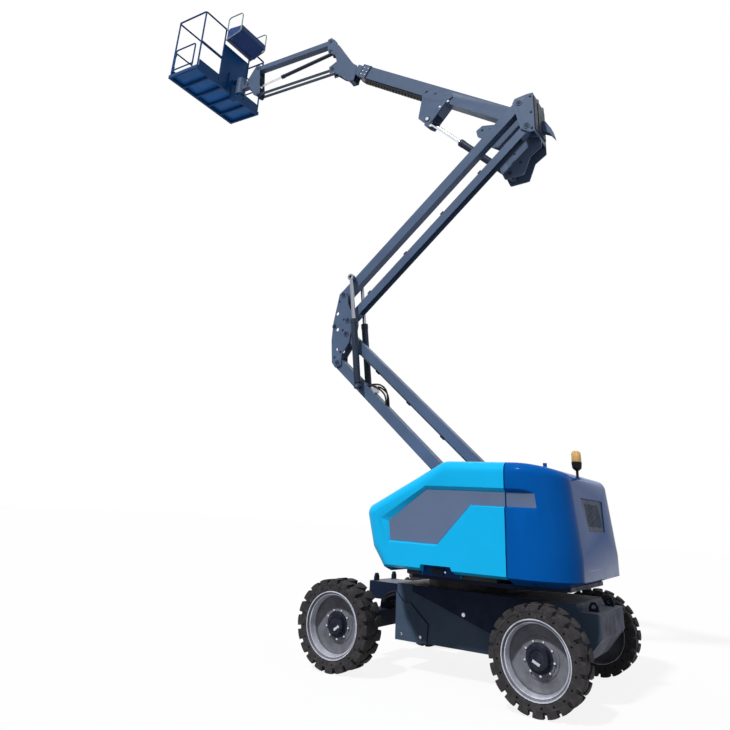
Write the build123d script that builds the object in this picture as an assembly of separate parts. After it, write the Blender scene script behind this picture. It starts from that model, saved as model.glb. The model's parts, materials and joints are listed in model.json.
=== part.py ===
"""Articulating boom lift with a two-stage riser, telescopic boom, jib and work platform.

Sizes are millimetres. While it is modelled, +X points to the platform end, +Y to the left side
and +Z up, with the slewing axis at X = Y = 0 and the ground at Z = 0. Each finished piece is then
moved so that the origin is under the middle of the whole machine's box.
"""
import os
from math import atan2, cos, degrees, hypot, radians, sin

from build123d import *

os.makedirs("parts", exist_ok=True)

# ---------------------------------------------------------------- running gear sizes
REAR_AXLE_X = -1000
WHEELBASE = 2050
TRACK = 2100                       # between the wheels' middle planes
TYRE_RADIUS = 415                  # over the lugs
TYRE_WIDTH = 300
LUG_HEIGHT = 28
LUG_WIDTH = 66
LUGS_PER_SIDE = 20
RIM_RADIUS = 296                   # where the tyre sits on the rim
RIM_WALL = 12
FLANGE_RADIUS = 306
HUB_RADIUS = 92
SPINDLE_RADIUS = 50
KINGPIN_INSET = 260                # from a wheel's middle plane to its kingpin
KINGPIN_Y = TRACK / 2 - KINGPIN_INSET
KINGPIN_RADIUS = 28
AXLE_BEAM = (170, 160)             # length along X, height
DRIVE_HOUSING_RADIUS = 135
RUNNING_FIT = 0.05                 # radial clearance of a pin or shaft in its hole
SEAT_GAP = 0.3                     # clearance of a sliding or rolling seat

# ---------------------------------------------------------------- chassis and turntable sizes
CHASSIS_HALF_WIDTH = 500
SHOULDER_WIDTH = 60                # how far the upper side plates stand out
SIDE_PLATE = 24                    # thickness of the lower side plates
CHASSIS_TOP = 800
CHASSIS_BOTTOM = 275
SLEW_RADIUS = 500
SLEW_SPLIT_RADIUS = 430            # between the fixed outer ring and the turning inner ring
SLEW_INNER_RADIUS = 350
SLEW_RING_TOP = 885
DECK_BOTTOM = 900                  # underside of the turntable's base plate
DECK_THICKNESS = 40
HOOD_TOP = 2000
HOOD_SIDE_Y = 1120
HOOD_WALL = 14
HOOD_REAR_X = -742
SEAM_GAP = 12
BAND_TOP = 1110                    # where the side begins to lean inwards
BAND_LEAN = 62
CHANNEL_LEFT_Y = 420               # the open channel for the arms, between the hoods
CHANNEL_RIGHT_Y = -320
TAIL_X = -1335
TAIL_CORNER_RADIUS = 420
LEAN_START = 1200                  # height where the tail's rear begins to lean forwards
TAIL_LEAN = 90                     # how far it leans by the top
TOP_EDGE_RADIUS = 100              # rounding along the top of tail and covers
RECESS_DEPTH = 34
PANEL_THICKNESS = 6

# ---------------------------------------------------------------- riser sizes
ARM_Y = 170                        # middle plane of the riser's arms
ARM_WIDTH = 120
ARM_DEPTH = 135
LINK_DEPTH = 115
TUBE_WALL = 8
PIN_RADIUS = 30
BOSS_RADIUS = 58
PLATE = 16                         # thickness of side plates
PLATE_GAP = 6                      # between an arm and the plate beside it
RISER_CYLINDER_YS = (315, 35)      # left and right of the arms
RISER_BARREL_RADIUS = 44
RISER_ROD_RADIUS = 26

# Pivot points of the riser, (X, Z)
TOWER_LOW_PIN = (-420, 1295)
LOWER_RUN = (2236, 2001)           # from the tower's pins to the elbow's
LOWER_OFFSET = (-110, 385)         # from the lower arm's pins to its link's
ELBOW_ARM_PIN = (TOWER_LOW_PIN[0] + LOWER_RUN[0], TOWER_LOW_PIN[1] + LOWER_RUN[1])
ELBOW_TOP_PIN = (1783, 4241)
UPPER_RUN = (-2576, 2350)          # from the elbow's pins to the upright's
UPPER_OFFSET = (-90, -372)         # from the upper arm's pins to its link's
RISER_BARREL_PIN = (1439, 2956)
RISER_EYE = (1633, 4454)

# ---------------------------------------------------------------- boom sizes
BOOM_Y = -130                      # middle plane of boom, jib and cylinders
BOOM_WIDTH = 190
BOOM_DEPTH = 215
BOOM_ANGLE = 33.1
BOOM_PIVOT = (-850, 6530)
BOOM_PIVOT_LIFT = 60               # the pivot's height over the boom's middle line
BOOM_LENGTH = 3265                 # from the pivot to the collar's mouth
INNER_WIDTH = 160
INNER_DEPTH = 183
STROKE = 1200                      # extension of the inner boom
BOOM_ROD_PIN = (676, 6930)
BOOM_BARREL_PIN = (-550, 5720)
BOOM_BARREL_RADIUS = 52
BOOM_ROD_RADIUS = 30

# Direction of the boom, and the end of its collar, (X, Z)
BOOM_X = (cos(radians(BOOM_ANGLE)), sin(radians(BOOM_ANGLE)))
BOOM_MOUTH = (BOOM_PIVOT[0] + BOOM_LENGTH * BOOM_X[0], BOOM_PIVOT[1] + BOOM_LENGTH * BOOM_X[1])

# ---------------------------------------------------------------- jib sizes
JIB_BASE = (BOOM_MOUTH[0] + 714.8484, BOOM_MOUTH[1] + 816.9771)
JIB_TIP = (JIB_BASE[0] + 1680, JIB_BASE[1] + 24)
JIB_LINK_OFFSET = (-82, -614)
JIB_WIDTH = 120
JIB_DEPTH = 100
JIB_LINK_DEPTH = 60
JIB_LINK_THICK = 12                # each of the link's two bars
JIB_LINK_INNER = 46                # from the jib's middle plane to a bar
JIB_BARREL_PIN = (JIB_BASE[0] - 10, JIB_BASE[1] - 205)
JIB_ROD_EYE = (JIB_TIP[0] - 60, JIB_TIP[1] - 400)
JIB_BARREL_RADIUS = 34
JIB_ROD_RADIUS = 19
LEVEL_PIN = (JIB_TIP[0] + 200, JIB_TIP[1] - 294)
ROTATOR_X = LEVEL_PIN[0] + 245

# ---------------------------------------------------------------- platform sizes
PLATFORM_X = (ROTATOR_X + 230, ROTATOR_X + 980)
PLATFORM_Y = (-945, 825)
FLOOR_BOTTOM = LEVEL_PIN[1] - 25
FLOOR_TOP = FLOOR_BOTTOM + 70
RAIL_RADIUS = 17
RAIL_HEIGHT = 1235                 # heights over the floor
MID_RAIL_HEIGHT = 550
TOP_RAIL_Z = FLOOR_TOP + RAIL_HEIGHT
MID_RAIL_Z = FLOOR_TOP + MID_RAIL_HEIGHT
TOE_BOARD = 150
CONSOLE_Y = (-480, 240)


# ---------------------------------------------------------------- shape helpers
def add(point, step):
    """The point moved by a step."""
    return (point[0] + step[0], point[1] + step[1])


def moved(points, origin):
    """XZ points given from an origin, as points of the machine."""
    return [add(origin, point) for point in points]


def slab(points, y_low, y_high, corner=0):
    """Plate whose outline lies in XZ, between two Y planes, with rounded corners if asked."""
    face = make_face(Plane.XZ.offset(-y_low) * Polyline(*points, close=True))
    if corner:
        face = fillet(face.vertices(), corner)
    return extrude(face, y_high - y_low, dir=(0, 1, 0))


def deck(points, z_low, z_high, corner=0):
    """Plate whose outline lies in XY, between two Z planes."""
    face = make_face(Plane.XY.offset(z_low) * Polyline(*points, close=True))
    if corner:
        face = fillet(face.vertices(), corner)
    return extrude(face, z_high - z_low, dir=(0, 0, 1))


def block(x_low, x_high, y_low, y_high, z_low, z_high):
    """Box between two corners."""
    size = (x_high - x_low, y_high - y_low, z_high - z_low)
    middle = ((x_low + x_high) / 2, (y_low + y_high) / 2, (z_low + z_high) / 2)
    return Pos(*middle) * Box(*size)


def bar(start, end, radius):
    """Round bar between two points in space."""
    run = Vector(*end) - Vector(*start)
    frame = Plane(origin=start, z_dir=run)
    return frame * Cylinder(radius, run.length, align=(Align.CENTER, Align.CENTER, Align.MIN))


def pin(point, radius, y_low, y_high):
    """Round bar along Y through an XZ point."""
    return bar((point[0], y_low, point[1]), (point[0], y_high, point[1]), radius)


def along(start, end, y):
    """Plane at start, its x along the run to end and its z square to it, upwards."""
    run = Vector(end[0] - start[0], 0, end[1] - start[1])
    up = Vector(-run.Z, 0, run.X) if run.X > 0 else Vector(run.Z, 0, -run.X)
    return Plane(origin=(start[0], y, start[1]), x_dir=run, z_dir=up)


def span(start, end):
    """Distance between two XZ points."""
    return hypot(end[0] - start[0], end[1] - start[1])


def tube_between(start, end, y, width, depth, overhang):
    """Hollow rectangular arm between two pins, with a bushed sleeve at each pin."""
    frame = along(start, end, y)
    length = span(start, end)
    outer = Box(length + 2 * overhang, width, depth)
    inner = Box(length + 2 * overhang, width - 2 * TUBE_WALL, depth - 2 * TUBE_WALL)
    arm = frame * Pos(length / 2, 0, 0) * (outer - inner)
    for point in (start, end):
        arm += pin(point, PIN_RADIUS + 14, y - width / 2, y + width / 2)
        arm -= pin(point, PIN_RADIUS + RUNNING_FIT, y - width / 2 - 1, y + width / 2 + 1)
    return arm


def link_between(start, end, y, width, depth):
    """Arm between two pins with round ends."""
    frame = along(start, end, y)
    length = span(start, end)
    arm = frame * Pos(length / 2, 0, 0) * Box(length, width, depth)
    for point in (start, end):
        arm += pin(point, depth / 2, y - width / 2, y + width / 2)
    hollow = Box(length - 3 * depth, width - 2 * TUBE_WALL, depth + 1)
    arm -= frame * Pos(length / 2, 0, -TUBE_WALL) * hollow
    for point in (start, end):
        arm -= pin(point, PIN_RADIUS + RUNNING_FIT, y - width / 2 - 1, y + width / 2 + 1)
    return arm


NODES = {}


# ---------------------------------------------------------------- wheels
def wheel_centre(front, side):
    """Middle of a wheel; side is +1 on the left."""
    return (REAR_AXLE_X + (WHEELBASE if front else 0), side * TRACK / 2, TYRE_RADIUS)


def turned(profile):
    """Solid turned about the wheel's axle from (radius, distance outwards) points."""
    face = make_face(Polyline(*[(r, 0, a) for r, a in profile], close=True))
    return revolve(face, Axis.Z)


def tyre():
    """Solid tyre about Z, with a staggered row of lugs on each shoulder."""
    half = TYRE_WIDTH / 2
    base = TYRE_RADIUS - LUG_HEIGHT
    body = turned([(RIM_RADIUS, -half + 12), (RIM_RADIUS + 30, -half), (base - 14, -half),
                   (base, -half + 16), (base, half - 16), (base - 14, half),
                   (RIM_RADIUS + 30, half), (RIM_RADIUS, half - 12)])
    tip = TYRE_RADIUS * cos(LUG_WIDTH / 2 / TYRE_RADIUS)
    step = 360 / LUGS_PER_SIDE
    # shoulder side, turn of the first lug
    for side, start in ((1, 0), (-1, step / 2)):
        lug = Pos((base - 30 + tip) / 2, 0, side * (half - 3) / 2 + side * 3)
        lug = lug * Box(tip - base + 30, LUG_WIDTH, half - 3)
        for turn in range(LUGS_PER_SIDE):
            body += Rot(0, 0, start + turn * step) * lug
    return body


def rim():
    """Rim with a deep dish and a bored hub, about Z with its outer face upwards."""
    half = TYRE_WIDTH / 2
    inside = RIM_RADIUS - RIM_WALL
    bore = SPINDLE_RADIUS + RUNNING_FIT
    return turned([(bore, -70), (HUB_RADIUS, -70), (HUB_RADIUS, -8), (inside, -8),
                   (inside, -half + 8), (RIM_RADIUS, -half + 12), (RIM_RADIUS, half - 12),
                   (FLANGE_RADIUS - 4, half), (inside - 4, half), (inside - 14, half - 20),
                   (inside - 14, 8), (HUB_RADIUS + 30, 22), (HUB_RADIUS, 40), (HUB_RADIUS, 88),
                   (0, 88), (0, 60), (bore, 60)])


def upright_wheel(solid, centre, side):
    """A wheel piece about Z turned so that its outer face looks sideways."""
    return Pos(*centre) * Rot(-90 * side, 0, 0) * Rot(0, 0, -90) * solid


TYRE = tyre()
RIM = rim()
for front, end_name in ((True, "front"), (False, "rear")):
    for side, side_name in ((1, "left"), (-1, "right")):
        centre = wheel_centre(front, side)
        NODES[f"tyre_{end_name}_{side_name}"] = upright_wheel(TYRE, centre, side)
        NODES[f"rim_{end_name}_{side_name}"] = upright_wheel(RIM, centre, side)

# ---------------------------------------------------------------- chassis
FRONT_AXLE_X = REAR_AXLE_X + WHEELBASE
AXLE_Z = TYRE_RADIUS
NOSE_X = FRONT_AXLE_X - 360         # where the wide body ends
NOSE_END = FRONT_AXLE_X + 130
NOSE_HALF_WIDTH = 250
NOSE_BOTTOM = 590
NOSE_TOP = 765
TAIL_STEP = 740
chassis = slab([(NOSE_X, CHASSIS_BOTTOM), (NOSE_X, CHASSIS_TOP), (-1180, CHASSIS_TOP),
                (-1210, TAIL_STEP), (-1390, TAIL_STEP), (-1390, 540), (-1210, 320),
                (-1000, CHASSIS_BOTTOM)], -CHASSIS_HALF_WIDTH, CHASSIS_HALF_WIDTH)
chassis += slab([(NOSE_X, NOSE_BOTTOM), (NOSE_END, NOSE_BOTTOM), (NOSE_END, NOSE_TOP),
                 (NOSE_X + 80, NOSE_TOP), (NOSE_X, CHASSIS_TOP)], -NOSE_HALF_WIDTH, NOSE_HALF_WIDTH)
for side in (1, -1):
    low, high = sorted((side * CHASSIS_HALF_WIDTH, side * (CHASSIS_HALF_WIDTH + SHOULDER_WIDTH)))
    chassis += slab([(480, 740), (-360, 465), (-820, 420), (-820, CHASSIS_TOP),
                     (480, CHASSIS_TOP)], low, high)
    low, high = sorted((side * CHASSIS_HALF_WIDTH, side * (CHASSIS_HALF_WIDTH + SIDE_PLATE)))
    chassis += slab([(NOSE_X, CHASSIS_BOTTOM), (330, CHASSIS_BOTTOM), (315, 450), (520, 625),
                     (600, 625), (NOSE_X, 720)], low, high)
NODES["chassis_frame"] = chassis

beam_x, beam_z = AXLE_BEAM
fork_top = AXLE_Z + 115
fork_root = KINGPIN_Y - 190
fork_web = KINGPIN_Y - 130
fork_tip = KINGPIN_Y + 60
axle = block(FRONT_AXLE_X - beam_x / 2, FRONT_AXLE_X + beam_x / 2, 10 - fork_web, fork_web - 10,
             AXLE_Z - beam_z / 2, AXLE_Z + beam_z / 2)
axle += slab([(FRONT_AXLE_X - 85, AXLE_Z), (FRONT_AXLE_X + 85, AXLE_Z),
              (FRONT_AXLE_X + 60, NOSE_BOTTOM - SEAT_GAP), (FRONT_AXLE_X - 60, NOSE_BOTTOM - SEAT_GAP)],
             -90, 90)
for side in (1, -1):
    low, high = sorted((side * fork_root, side * fork_tip))
    for z_low, z_high in ((fork_top - 30, fork_top), (AXLE_Z - 115, AXLE_Z - 85)):
        axle += block(FRONT_AXLE_X - 70, FRONT_AXLE_X + 70, low, high, z_low, z_high)
    low, high = sorted((side * fork_root, side * fork_web))
    axle += block(FRONT_AXLE_X - 70, FRONT_AXLE_X + 70, low, high, AXLE_Z - 115, fork_top)
    axle += bar((FRONT_AXLE_X, side * KINGPIN_Y, AXLE_Z - 120),
                (FRONT_AXLE_X, side * KINGPIN_Y, fork_top + 12), KINGPIN_RADIUS)
axle += bar((FRONT_AXLE_X + 150, -260, AXLE_Z), (FRONT_AXLE_X + 150, 260, AXLE_Z), 38)
axle += block(FRONT_AXLE_X + beam_x / 2 - 5, FRONT_AXLE_X + 155, -60, 60, AXLE_Z - 30, AXLE_Z + 30)
NODES["steer_axle"] = axle

for side, side_name in ((1, "left"), (-1, "right")):
    sleeve_bottom = AXLE_Z - 85 + SEAT_GAP
    sleeve_top = AXLE_Z + 85 - SEAT_GAP
    knuckle = bar((FRONT_AXLE_X, side * KINGPIN_Y, sleeve_bottom),
                  (FRONT_AXLE_X, side * KINGPIN_Y, sleeve_top), 56)
    low, high = sorted((side * KINGPIN_Y, side * (TRACK / 2 - 125)))
    knuckle += pin((FRONT_AXLE_X, AXLE_Z), 78, low, high)
    low, high = sorted((side * (TRACK / 2 - 125), side * (TRACK / 2 + 50)))
    knuckle += pin((FRONT_AXLE_X, AXLE_Z), SPINDLE_RADIUS, low, high)
    low, high = sorted((side * (KINGPIN_Y - 45), side * (KINGPIN_Y + 25)))
    knuckle += block(FRONT_AXLE_X + 30, FRONT_AXLE_X + 190, low, high, AXLE_Z - 22, AXLE_Z + 22)
    knuckle -= bar((FRONT_AXLE_X, side * KINGPIN_Y, AXLE_Z - 200),
                   (FRONT_AXLE_X, side * KINGPIN_Y, AXLE_Z + 200), KINGPIN_RADIUS + RUNNING_FIT)
    NODES[f"knuckle_{side_name}"] = knuckle

drive = []
for side in (1, -1):
    inner, outer = side * CHASSIS_HALF_WIDTH, side * (TRACK / 2 - 80)
    low, high = sorted((inner, outer))
    hub = pin((REAR_AXLE_X, AXLE_Z), DRIVE_HOUSING_RADIUS, low, high)
    low, high = sorted((outer, side * (TRACK / 2 + 50)))
    hub += pin((REAR_AXLE_X, AXLE_Z), SPINDLE_RADIUS, low, high)
    drive.append(hub)
NODES["drive_hubs"] = Compound(children=drive)

ring = Cylinder(SLEW_RADIUS, SLEW_RING_TOP - CHASSIS_TOP,
                align=(Align.CENTER, Align.CENTER, Align.MIN))
ring -= Cylinder(SLEW_SPLIT_RADIUS + SEAT_GAP, 2 * SLEW_RING_TOP)
NODES["slew_ring"] = Pos(0, 0, CHASSIS_TOP) * ring

LUG_BORE = 18
LUG_PLATE = 24
# (x, y on the left, z of the seat, turn about the upright axis)
LUG_PLACES = [(NOSE_END - 65, 205, NOSE_TOP, 90), (-1300, 330, TAIL_STEP, 0)]
LUG_OUTLINE = [(-45, 0), (45, 0), (45, 40), (22, 78), (-22, 78), (-45, 40)]
lug = slab(LUG_OUTLINE, -LUG_PLATE / 2, LUG_PLATE / 2)
lug -= pin((0, 40), LUG_BORE, -LUG_PLATE, LUG_PLATE)
lugs = [Pos(x, y, z) * Rot(0, 0, turn) * lug
        for x, lug_y, z, turn in LUG_PLACES for y in (lug_y, -lug_y)]
NODES["tie_down_lugs"] = Compound(children=lugs)

# ---------------------------------------------------------------- turntable
DECK_TOP = DECK_BOTTOM + DECK_THICKNESS
base = deck([(620, -420), (620, 420), (330, 860), (HOOD_REAR_X, 940), (-1180, 640),
             (-1180, -640), (HOOD_REAR_X, -940), (330, -860)], DECK_BOTTOM, DECK_TOP)
base += Pos(0, 0, CHASSIS_TOP + 15) * (
    Cylinder(SLEW_SPLIT_RADIUS, DECK_BOTTOM - CHASSIS_TOP - 15,
             align=(Align.CENTER, Align.CENTER, Align.MIN))
    - Cylinder(SLEW_INNER_RADIUS, 2 * DECK_BOTTOM))
TOWER_TOP_PIN = add(TOWER_LOW_PIN, LOWER_OFFSET)
arm_low = ARM_Y - ARM_WIDTH / 2
arm_high = ARM_Y + ARM_WIDTH / 2
TOWER_OUTLINE = [(-880, DECK_TOP), (60, DECK_TOP), (-310, 1290), (-400, 1740), (-470, 1790),
                 (-600, 1790), (-680, 1700)]
for y_low in (arm_low - PLATE_GAP - PLATE, arm_high + PLATE_GAP):
    base += slab(TOWER_OUTLINE, y_low, y_low + PLATE)
base += block(-840, -700, arm_low - PLATE_GAP, arm_high + PLATE_GAP, DECK_TOP, 1100)
for point in (TOWER_LOW_PIN, TOWER_TOP_PIN):
    base += pin(point, PIN_RADIUS, arm_low - PLATE_GAP - PLATE - 4, arm_high + PLATE_GAP + PLATE + 4)

# bulkheads beside the arms' channel, with the fixed knuckles of the covers' hinges
BULKHEAD = [(-730, DECK_TOP), (480, DECK_TOP), (630, 1160), (715, 1500), (-120, 1976), (-730, 1976)]
HINGE_Z = 1988
HINGE_RADIUS = 9
HINGE_PIN_RADIUS = 5
HINGE_INSET = 11                   # from a cover's inner edge to its hinge line
KNUCKLES = [(-650, -560), (-470, -380), (-290, -200)]       # (start, end) along X, on the bulkheads
for channel_y in (CHANNEL_LEFT_Y, CHANNEL_RIGHT_Y):
    side = 1 if channel_y > 0 else -1
    hinge_y = channel_y - side * HINGE_INSET
    low, high = sorted((hinge_y - side * 7, hinge_y + side * 1))
    base += slab(BULKHEAD, low, high)
    for x_low, x_high in KNUCKLES:
        base += bar((x_low, hinge_y, HINGE_Z), (x_high, hinge_y, HINGE_Z), HINGE_RADIUS)
        base += block(x_low, x_high, low, high, 1970, HINGE_Z)
    base += bar((KNUCKLES[0][0], hinge_y, HINGE_Z), (KNUCKLES[-1][1], hinge_y, HINGE_Z), HINGE_PIN_RADIUS)
NODES["turntable_base"] = base

BEACON_X, BEACON_Y = -1272, 480
# outline of the covers' recess, its lower end, and how it runs on into the tail, (X, Z)
RECESS_END = -1250
RECESS = [(466, 1230), (491, 1409), (71, 1722), (RECESS_END, 1725), (RECESS_END, 1600), (-396, 1598),
          (-46, 1228)]
RECESS_RIM = [(482, 1214), (575, 1433), (71, 1758), (RECESS_END, 1761), (RECESS_END, 1588),
              (-402, 1586), (-52, 1212)]


def recess_cutter():
    """Solid of the left recess, with walls that slope out to its rim."""
    rim = Plane.XZ.offset(-HOOD_SIDE_Y - 1) * Polyline(*RECESS_RIM, close=True)
    floor_line = Plane.XZ.offset(-HOOD_SIDE_Y + RECESS_DEPTH) * Polyline(*RECESS, close=True)
    return loft([make_face(floor_line), make_face(rim)], ruled=True)


def tail_section(z, rear_x):
    """Flat outline of the tail at a height, with its two rounded corners."""
    face = make_face(Plane.XY.offset(z) * Polyline(
        (TAIL_FRONT_X, -HOOD_SIDE_Y), (TAIL_FRONT_X, HOOD_SIDE_Y), (rear_x, HOOD_SIDE_Y),
        (rear_x, -HOOD_SIDE_Y), close=True))
    return fillet(face.vertices().sort_by(Axis.X)[:2], TAIL_CORNER_RADIUS)


# counterweight: the rounded tail, with the arms' channel cut from its front
TAIL_FRONT_X = HOOD_REAR_X - SEAM_GAP
tail = extrude(tail_section(DECK_TOP, TAIL_X), LEAN_START - DECK_TOP, dir=(0, 0, 1))
tail += loft([tail_section(LEAN_START, TAIL_X), tail_section(HOOD_TOP, TAIL_X + TAIL_LEAN)], ruled=True)
bottom_edges = tail.faces().sort_by(Axis.Z)[0].edges().filter_by(
    lambda e: e.center().X < TAIL_FRONT_X - 1)
tail = chamfer(bottom_edges, BAND_TOP - DECK_TOP, BAND_LEAN)
crown = Polyline((-1600, HOOD_TOP - 220), (-1600, HOOD_TOP + 5), (TAIL_FRONT_X + 50, HOOD_TOP + 5),
                 (TAIL_FRONT_X + 50, HOOD_TOP), (TAIL_FRONT_X - 46, HOOD_TOP))
crown += ThreePointArc((TAIL_FRONT_X - 46, HOOD_TOP), (-1100, HOOD_TOP - 32), (-1400, HOOD_TOP - 130))
crown += Line((-1400, HOOD_TOP - 130), (-1600, HOOD_TOP - 220))
tail -= extrude(make_face(Plane.XZ.offset(-2 * HOOD_SIDE_Y) * crown), 4 * HOOD_SIDE_Y, dir=(0, -1, 0))
top_faces = [face for face in tail.faces() if face.normal_at().Z > 0.8]
top_edges = [edge for face in top_faces for edge in face.edges()]
outer_edges = [edge for edge in top_edges
               if sum(edge.center() == other.center() for other in top_edges) == 1
               and edge.center().X < TAIL_FRONT_X - 1]
tail = fillet(outer_edges, TOP_EDGE_RADIUS)
tail -= recess_cutter()
tail -= mirror(recess_cutter(), Plane.XZ)
tail -= block(-1165, 0, CHANNEL_RIGHT_Y, CHANNEL_LEFT_Y, 1330, 3000)
tail -= block(-900, 0, CHANNEL_RIGHT_Y, CHANNEL_LEFT_Y, 0, 3000)
tail += Pos(-1050, 800, HOOD_TOP - 60) * Cylinder(19, 75, align=(Align.CENTER, Align.CENTER, Align.MIN))
tail += block(-1300, -1180, BEACON_Y - 32, BEACON_Y + 32, 1893, 1901)
lean = degrees(atan2(TAIL_LEAN, HOOD_TOP - LEAN_START))
rear_face = Plane(origin=(TAIL_X, 0, LEAN_START), x_dir=(0, -1, 0),
                  z_dir=(-cos(radians(lean)), 0, sin(radians(lean))))
GRILLE = [(-450, 528), (450, 528), (330, 226), (-330, 226)]     # (across, up the leaning face)
GRILLE_DEPTH = 26
tail -= extrude(rear_face * make_face(Polyline(*GRILLE, close=True)), GRILLE_DEPTH, both=True)
NODES["counterweight"] = tail
insert = [(y * 0.99, 377 + (h - 377) * 0.985) for y, h in GRILLE]
grille = extrude(rear_face.offset(-GRILLE_DEPTH) * make_face(Polyline(*insert, close=True)), 16)
SLATS = 11
SLAT_PITCH = 54
for i in range(SLATS):
    across = (i - (SLATS - 1) / 2) * SLAT_PITCH
    grille -= rear_face * Pos(across, 377, 16 - GRILLE_DEPTH) * Rot(0, 0, 12) * Box(24, 220, 18)
NODES["rear_grille"] = grille

BEACON_PROFILE = [(0, 1901), (14, 1901), (14, 1975), (46, 2000), (50, 2045), (50, 2140), (38, 2163),
                  (0, 2163)]                                       # (radius, Z)
beacon = revolve(make_face(Plane.XZ * Polyline(*BEACON_PROFILE, close=True)), Axis.Z)
beacon = Pos(BEACON_X, BEACON_Y, 0) * beacon
beacon -= tail
NODES["beacon"] = beacon

NODES["engine_block"] = block(-560, 420, -980, -420, DECK_TOP, 1640)
NODES["tank_block"] = block(-600, 330, 480, 980, DECK_TOP, 1520)

# ---------------------------------------------------------------- hoods
HOOD_OUTLINE = [(HOOD_REAR_X, DECK_TOP + 6), (530, DECK_TOP + 6), (682, 1158), (776, 1521),
                (-106, HOOD_TOP), (HOOD_REAR_X, HOOD_TOP)]
LATCH_RECESS = [(146, 900), (115, 1040), (-195, 1040), (-251, 900)]
LATCH_BACKING = 30


def hood(side, channel_y):
    """Hollow side cover, open below and towards the channel, with a recessed panel."""
    inner_y = abs(channel_y)
    body = slab(HOOD_OUTLINE, inner_y, HOOD_SIDE_Y)
    lean = body.edges().filter_by(
        lambda e: e.center().Z < DECK_TOP + 7 and e.center().Y > HOOD_SIDE_Y - 1)
    body = chamfer(lean, BAND_TOP - DECK_TOP, BAND_LEAN)
    # rounded corners of the outline, then the rounded edge round the outer side
    for x, z, radius in ((-106, HOOD_TOP, 200), (776, 1521, 100), (682, 1158, 100)):
        across = body.edges().filter_by(Axis.Y).filter_by(
            lambda e: hypot(e.center().X - x, e.center().Z - z) < 5)
        body = fillet(across, radius)
    outer = body.faces().sort_by(Axis.Y)[-1].edges().filter_by(
        lambda e: e.center().X > HOOD_REAR_X + 1 and e.center().Z > BAND_TOP + 1)
    body = fillet(outer, TOP_EDGE_RADIUS)
    shell = slab([(HOOD_REAR_X - 1, DECK_TOP), (530 - 14, DECK_TOP), (682 - 15, 1161),
                  (776 - 17, 1513), (-109, HOOD_TOP - HOOD_WALL), (HOOD_REAR_X - 1, HOOD_TOP - HOOD_WALL)],
                 inner_y - 1, HOOD_SIDE_Y - HOOD_WALL - BAND_LEAN)
    body -= shell
    body -= recess_cutter()
    panel = slab(RECESS, HOOD_SIDE_Y - RECESS_DEPTH, HOOD_SIDE_Y - RECESS_DEPTH + PANEL_THICKNESS)
    panel -= block(RECESS_END - 1, HOOD_REAR_X, 0, 2 * HOOD_SIDE_Y, 0, HOOD_TOP)
    # the latch's pocket at the foot, with the latch in it
    low_y = HOOD_SIDE_Y - BAND_LEAN - HOOD_WALL
    body += block(-270, 165, low_y - LATCH_BACKING, low_y + 1, DECK_TOP + 6, 1060)
    body -= slab(LATCH_RECESS, low_y - LATCH_BACKING + 12, HOOD_SIDE_Y + 1)
    body += block(-95, 25, low_y - LATCH_BACKING + 11, low_y + 8, 960, 1012)
    # the cover's own knuckles, between those of the bulkhead
    hinge_y = inner_y - HINGE_INSET
    for (_, x_low), (x_high, _) in zip(KNUCKLES, KNUCKLES[1:]):
        x_low, x_high = x_low + SEAT_GAP, x_high - SEAT_GAP
        body += bar((x_low, hinge_y, HINGE_Z), (x_high, hinge_y, HINGE_Z), HINGE_RADIUS)
        body += block(x_low, x_high, hinge_y, inner_y + 1, HINGE_Z, HOOD_TOP - 1)
        body -= bar((x_low - 1, hinge_y, HINGE_Z), (x_high + 1, hinge_y, HINGE_Z),
                    HINGE_PIN_RADIUS + RUNNING_FIT)
    if side < 0:
        body = mirror(body, Plane.XZ)
        panel = mirror(panel, Plane.XZ)
    return body, panel


for side, side_name, channel_y in ((1, "left", CHANNEL_LEFT_Y), (-1, "right", CHANNEL_RIGHT_Y)):
    NODES[f"hood_{side_name}"], NODES[f"hood_panel_{side_name}"] = hood(side, channel_y)

# ---------------------------------------------------------------- riser
ELBOW_LINK_PIN = add(ELBOW_ARM_PIN, LOWER_OFFSET)
ELBOW_UPPER_LINK_PIN = add(ELBOW_TOP_PIN, UPPER_OFFSET)
UPRIGHT_TOP_PIN = add(ELBOW_TOP_PIN, UPPER_RUN)
UPRIGHT_LOW_PIN = add(UPRIGHT_TOP_PIN, UPPER_OFFSET)

lower_arm = tube_between(TOWER_LOW_PIN, ELBOW_ARM_PIN, ARM_Y, ARM_WIDTH, ARM_DEPTH, 58)
for y_low, y_high in ((arm_high - 1, RISER_CYLINDER_YS[0] + 35), (RISER_CYLINDER_YS[1] - 35, arm_low + 1)):
    lower_arm += pin(RISER_BARREL_PIN, 22, y_low, y_high)
NODES["lower_arm"] = lower_arm
NODES["lower_link"] = link_between(TOWER_TOP_PIN, ELBOW_LINK_PIN, ARM_Y, ARM_WIDTH, LINK_DEPTH)

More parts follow.
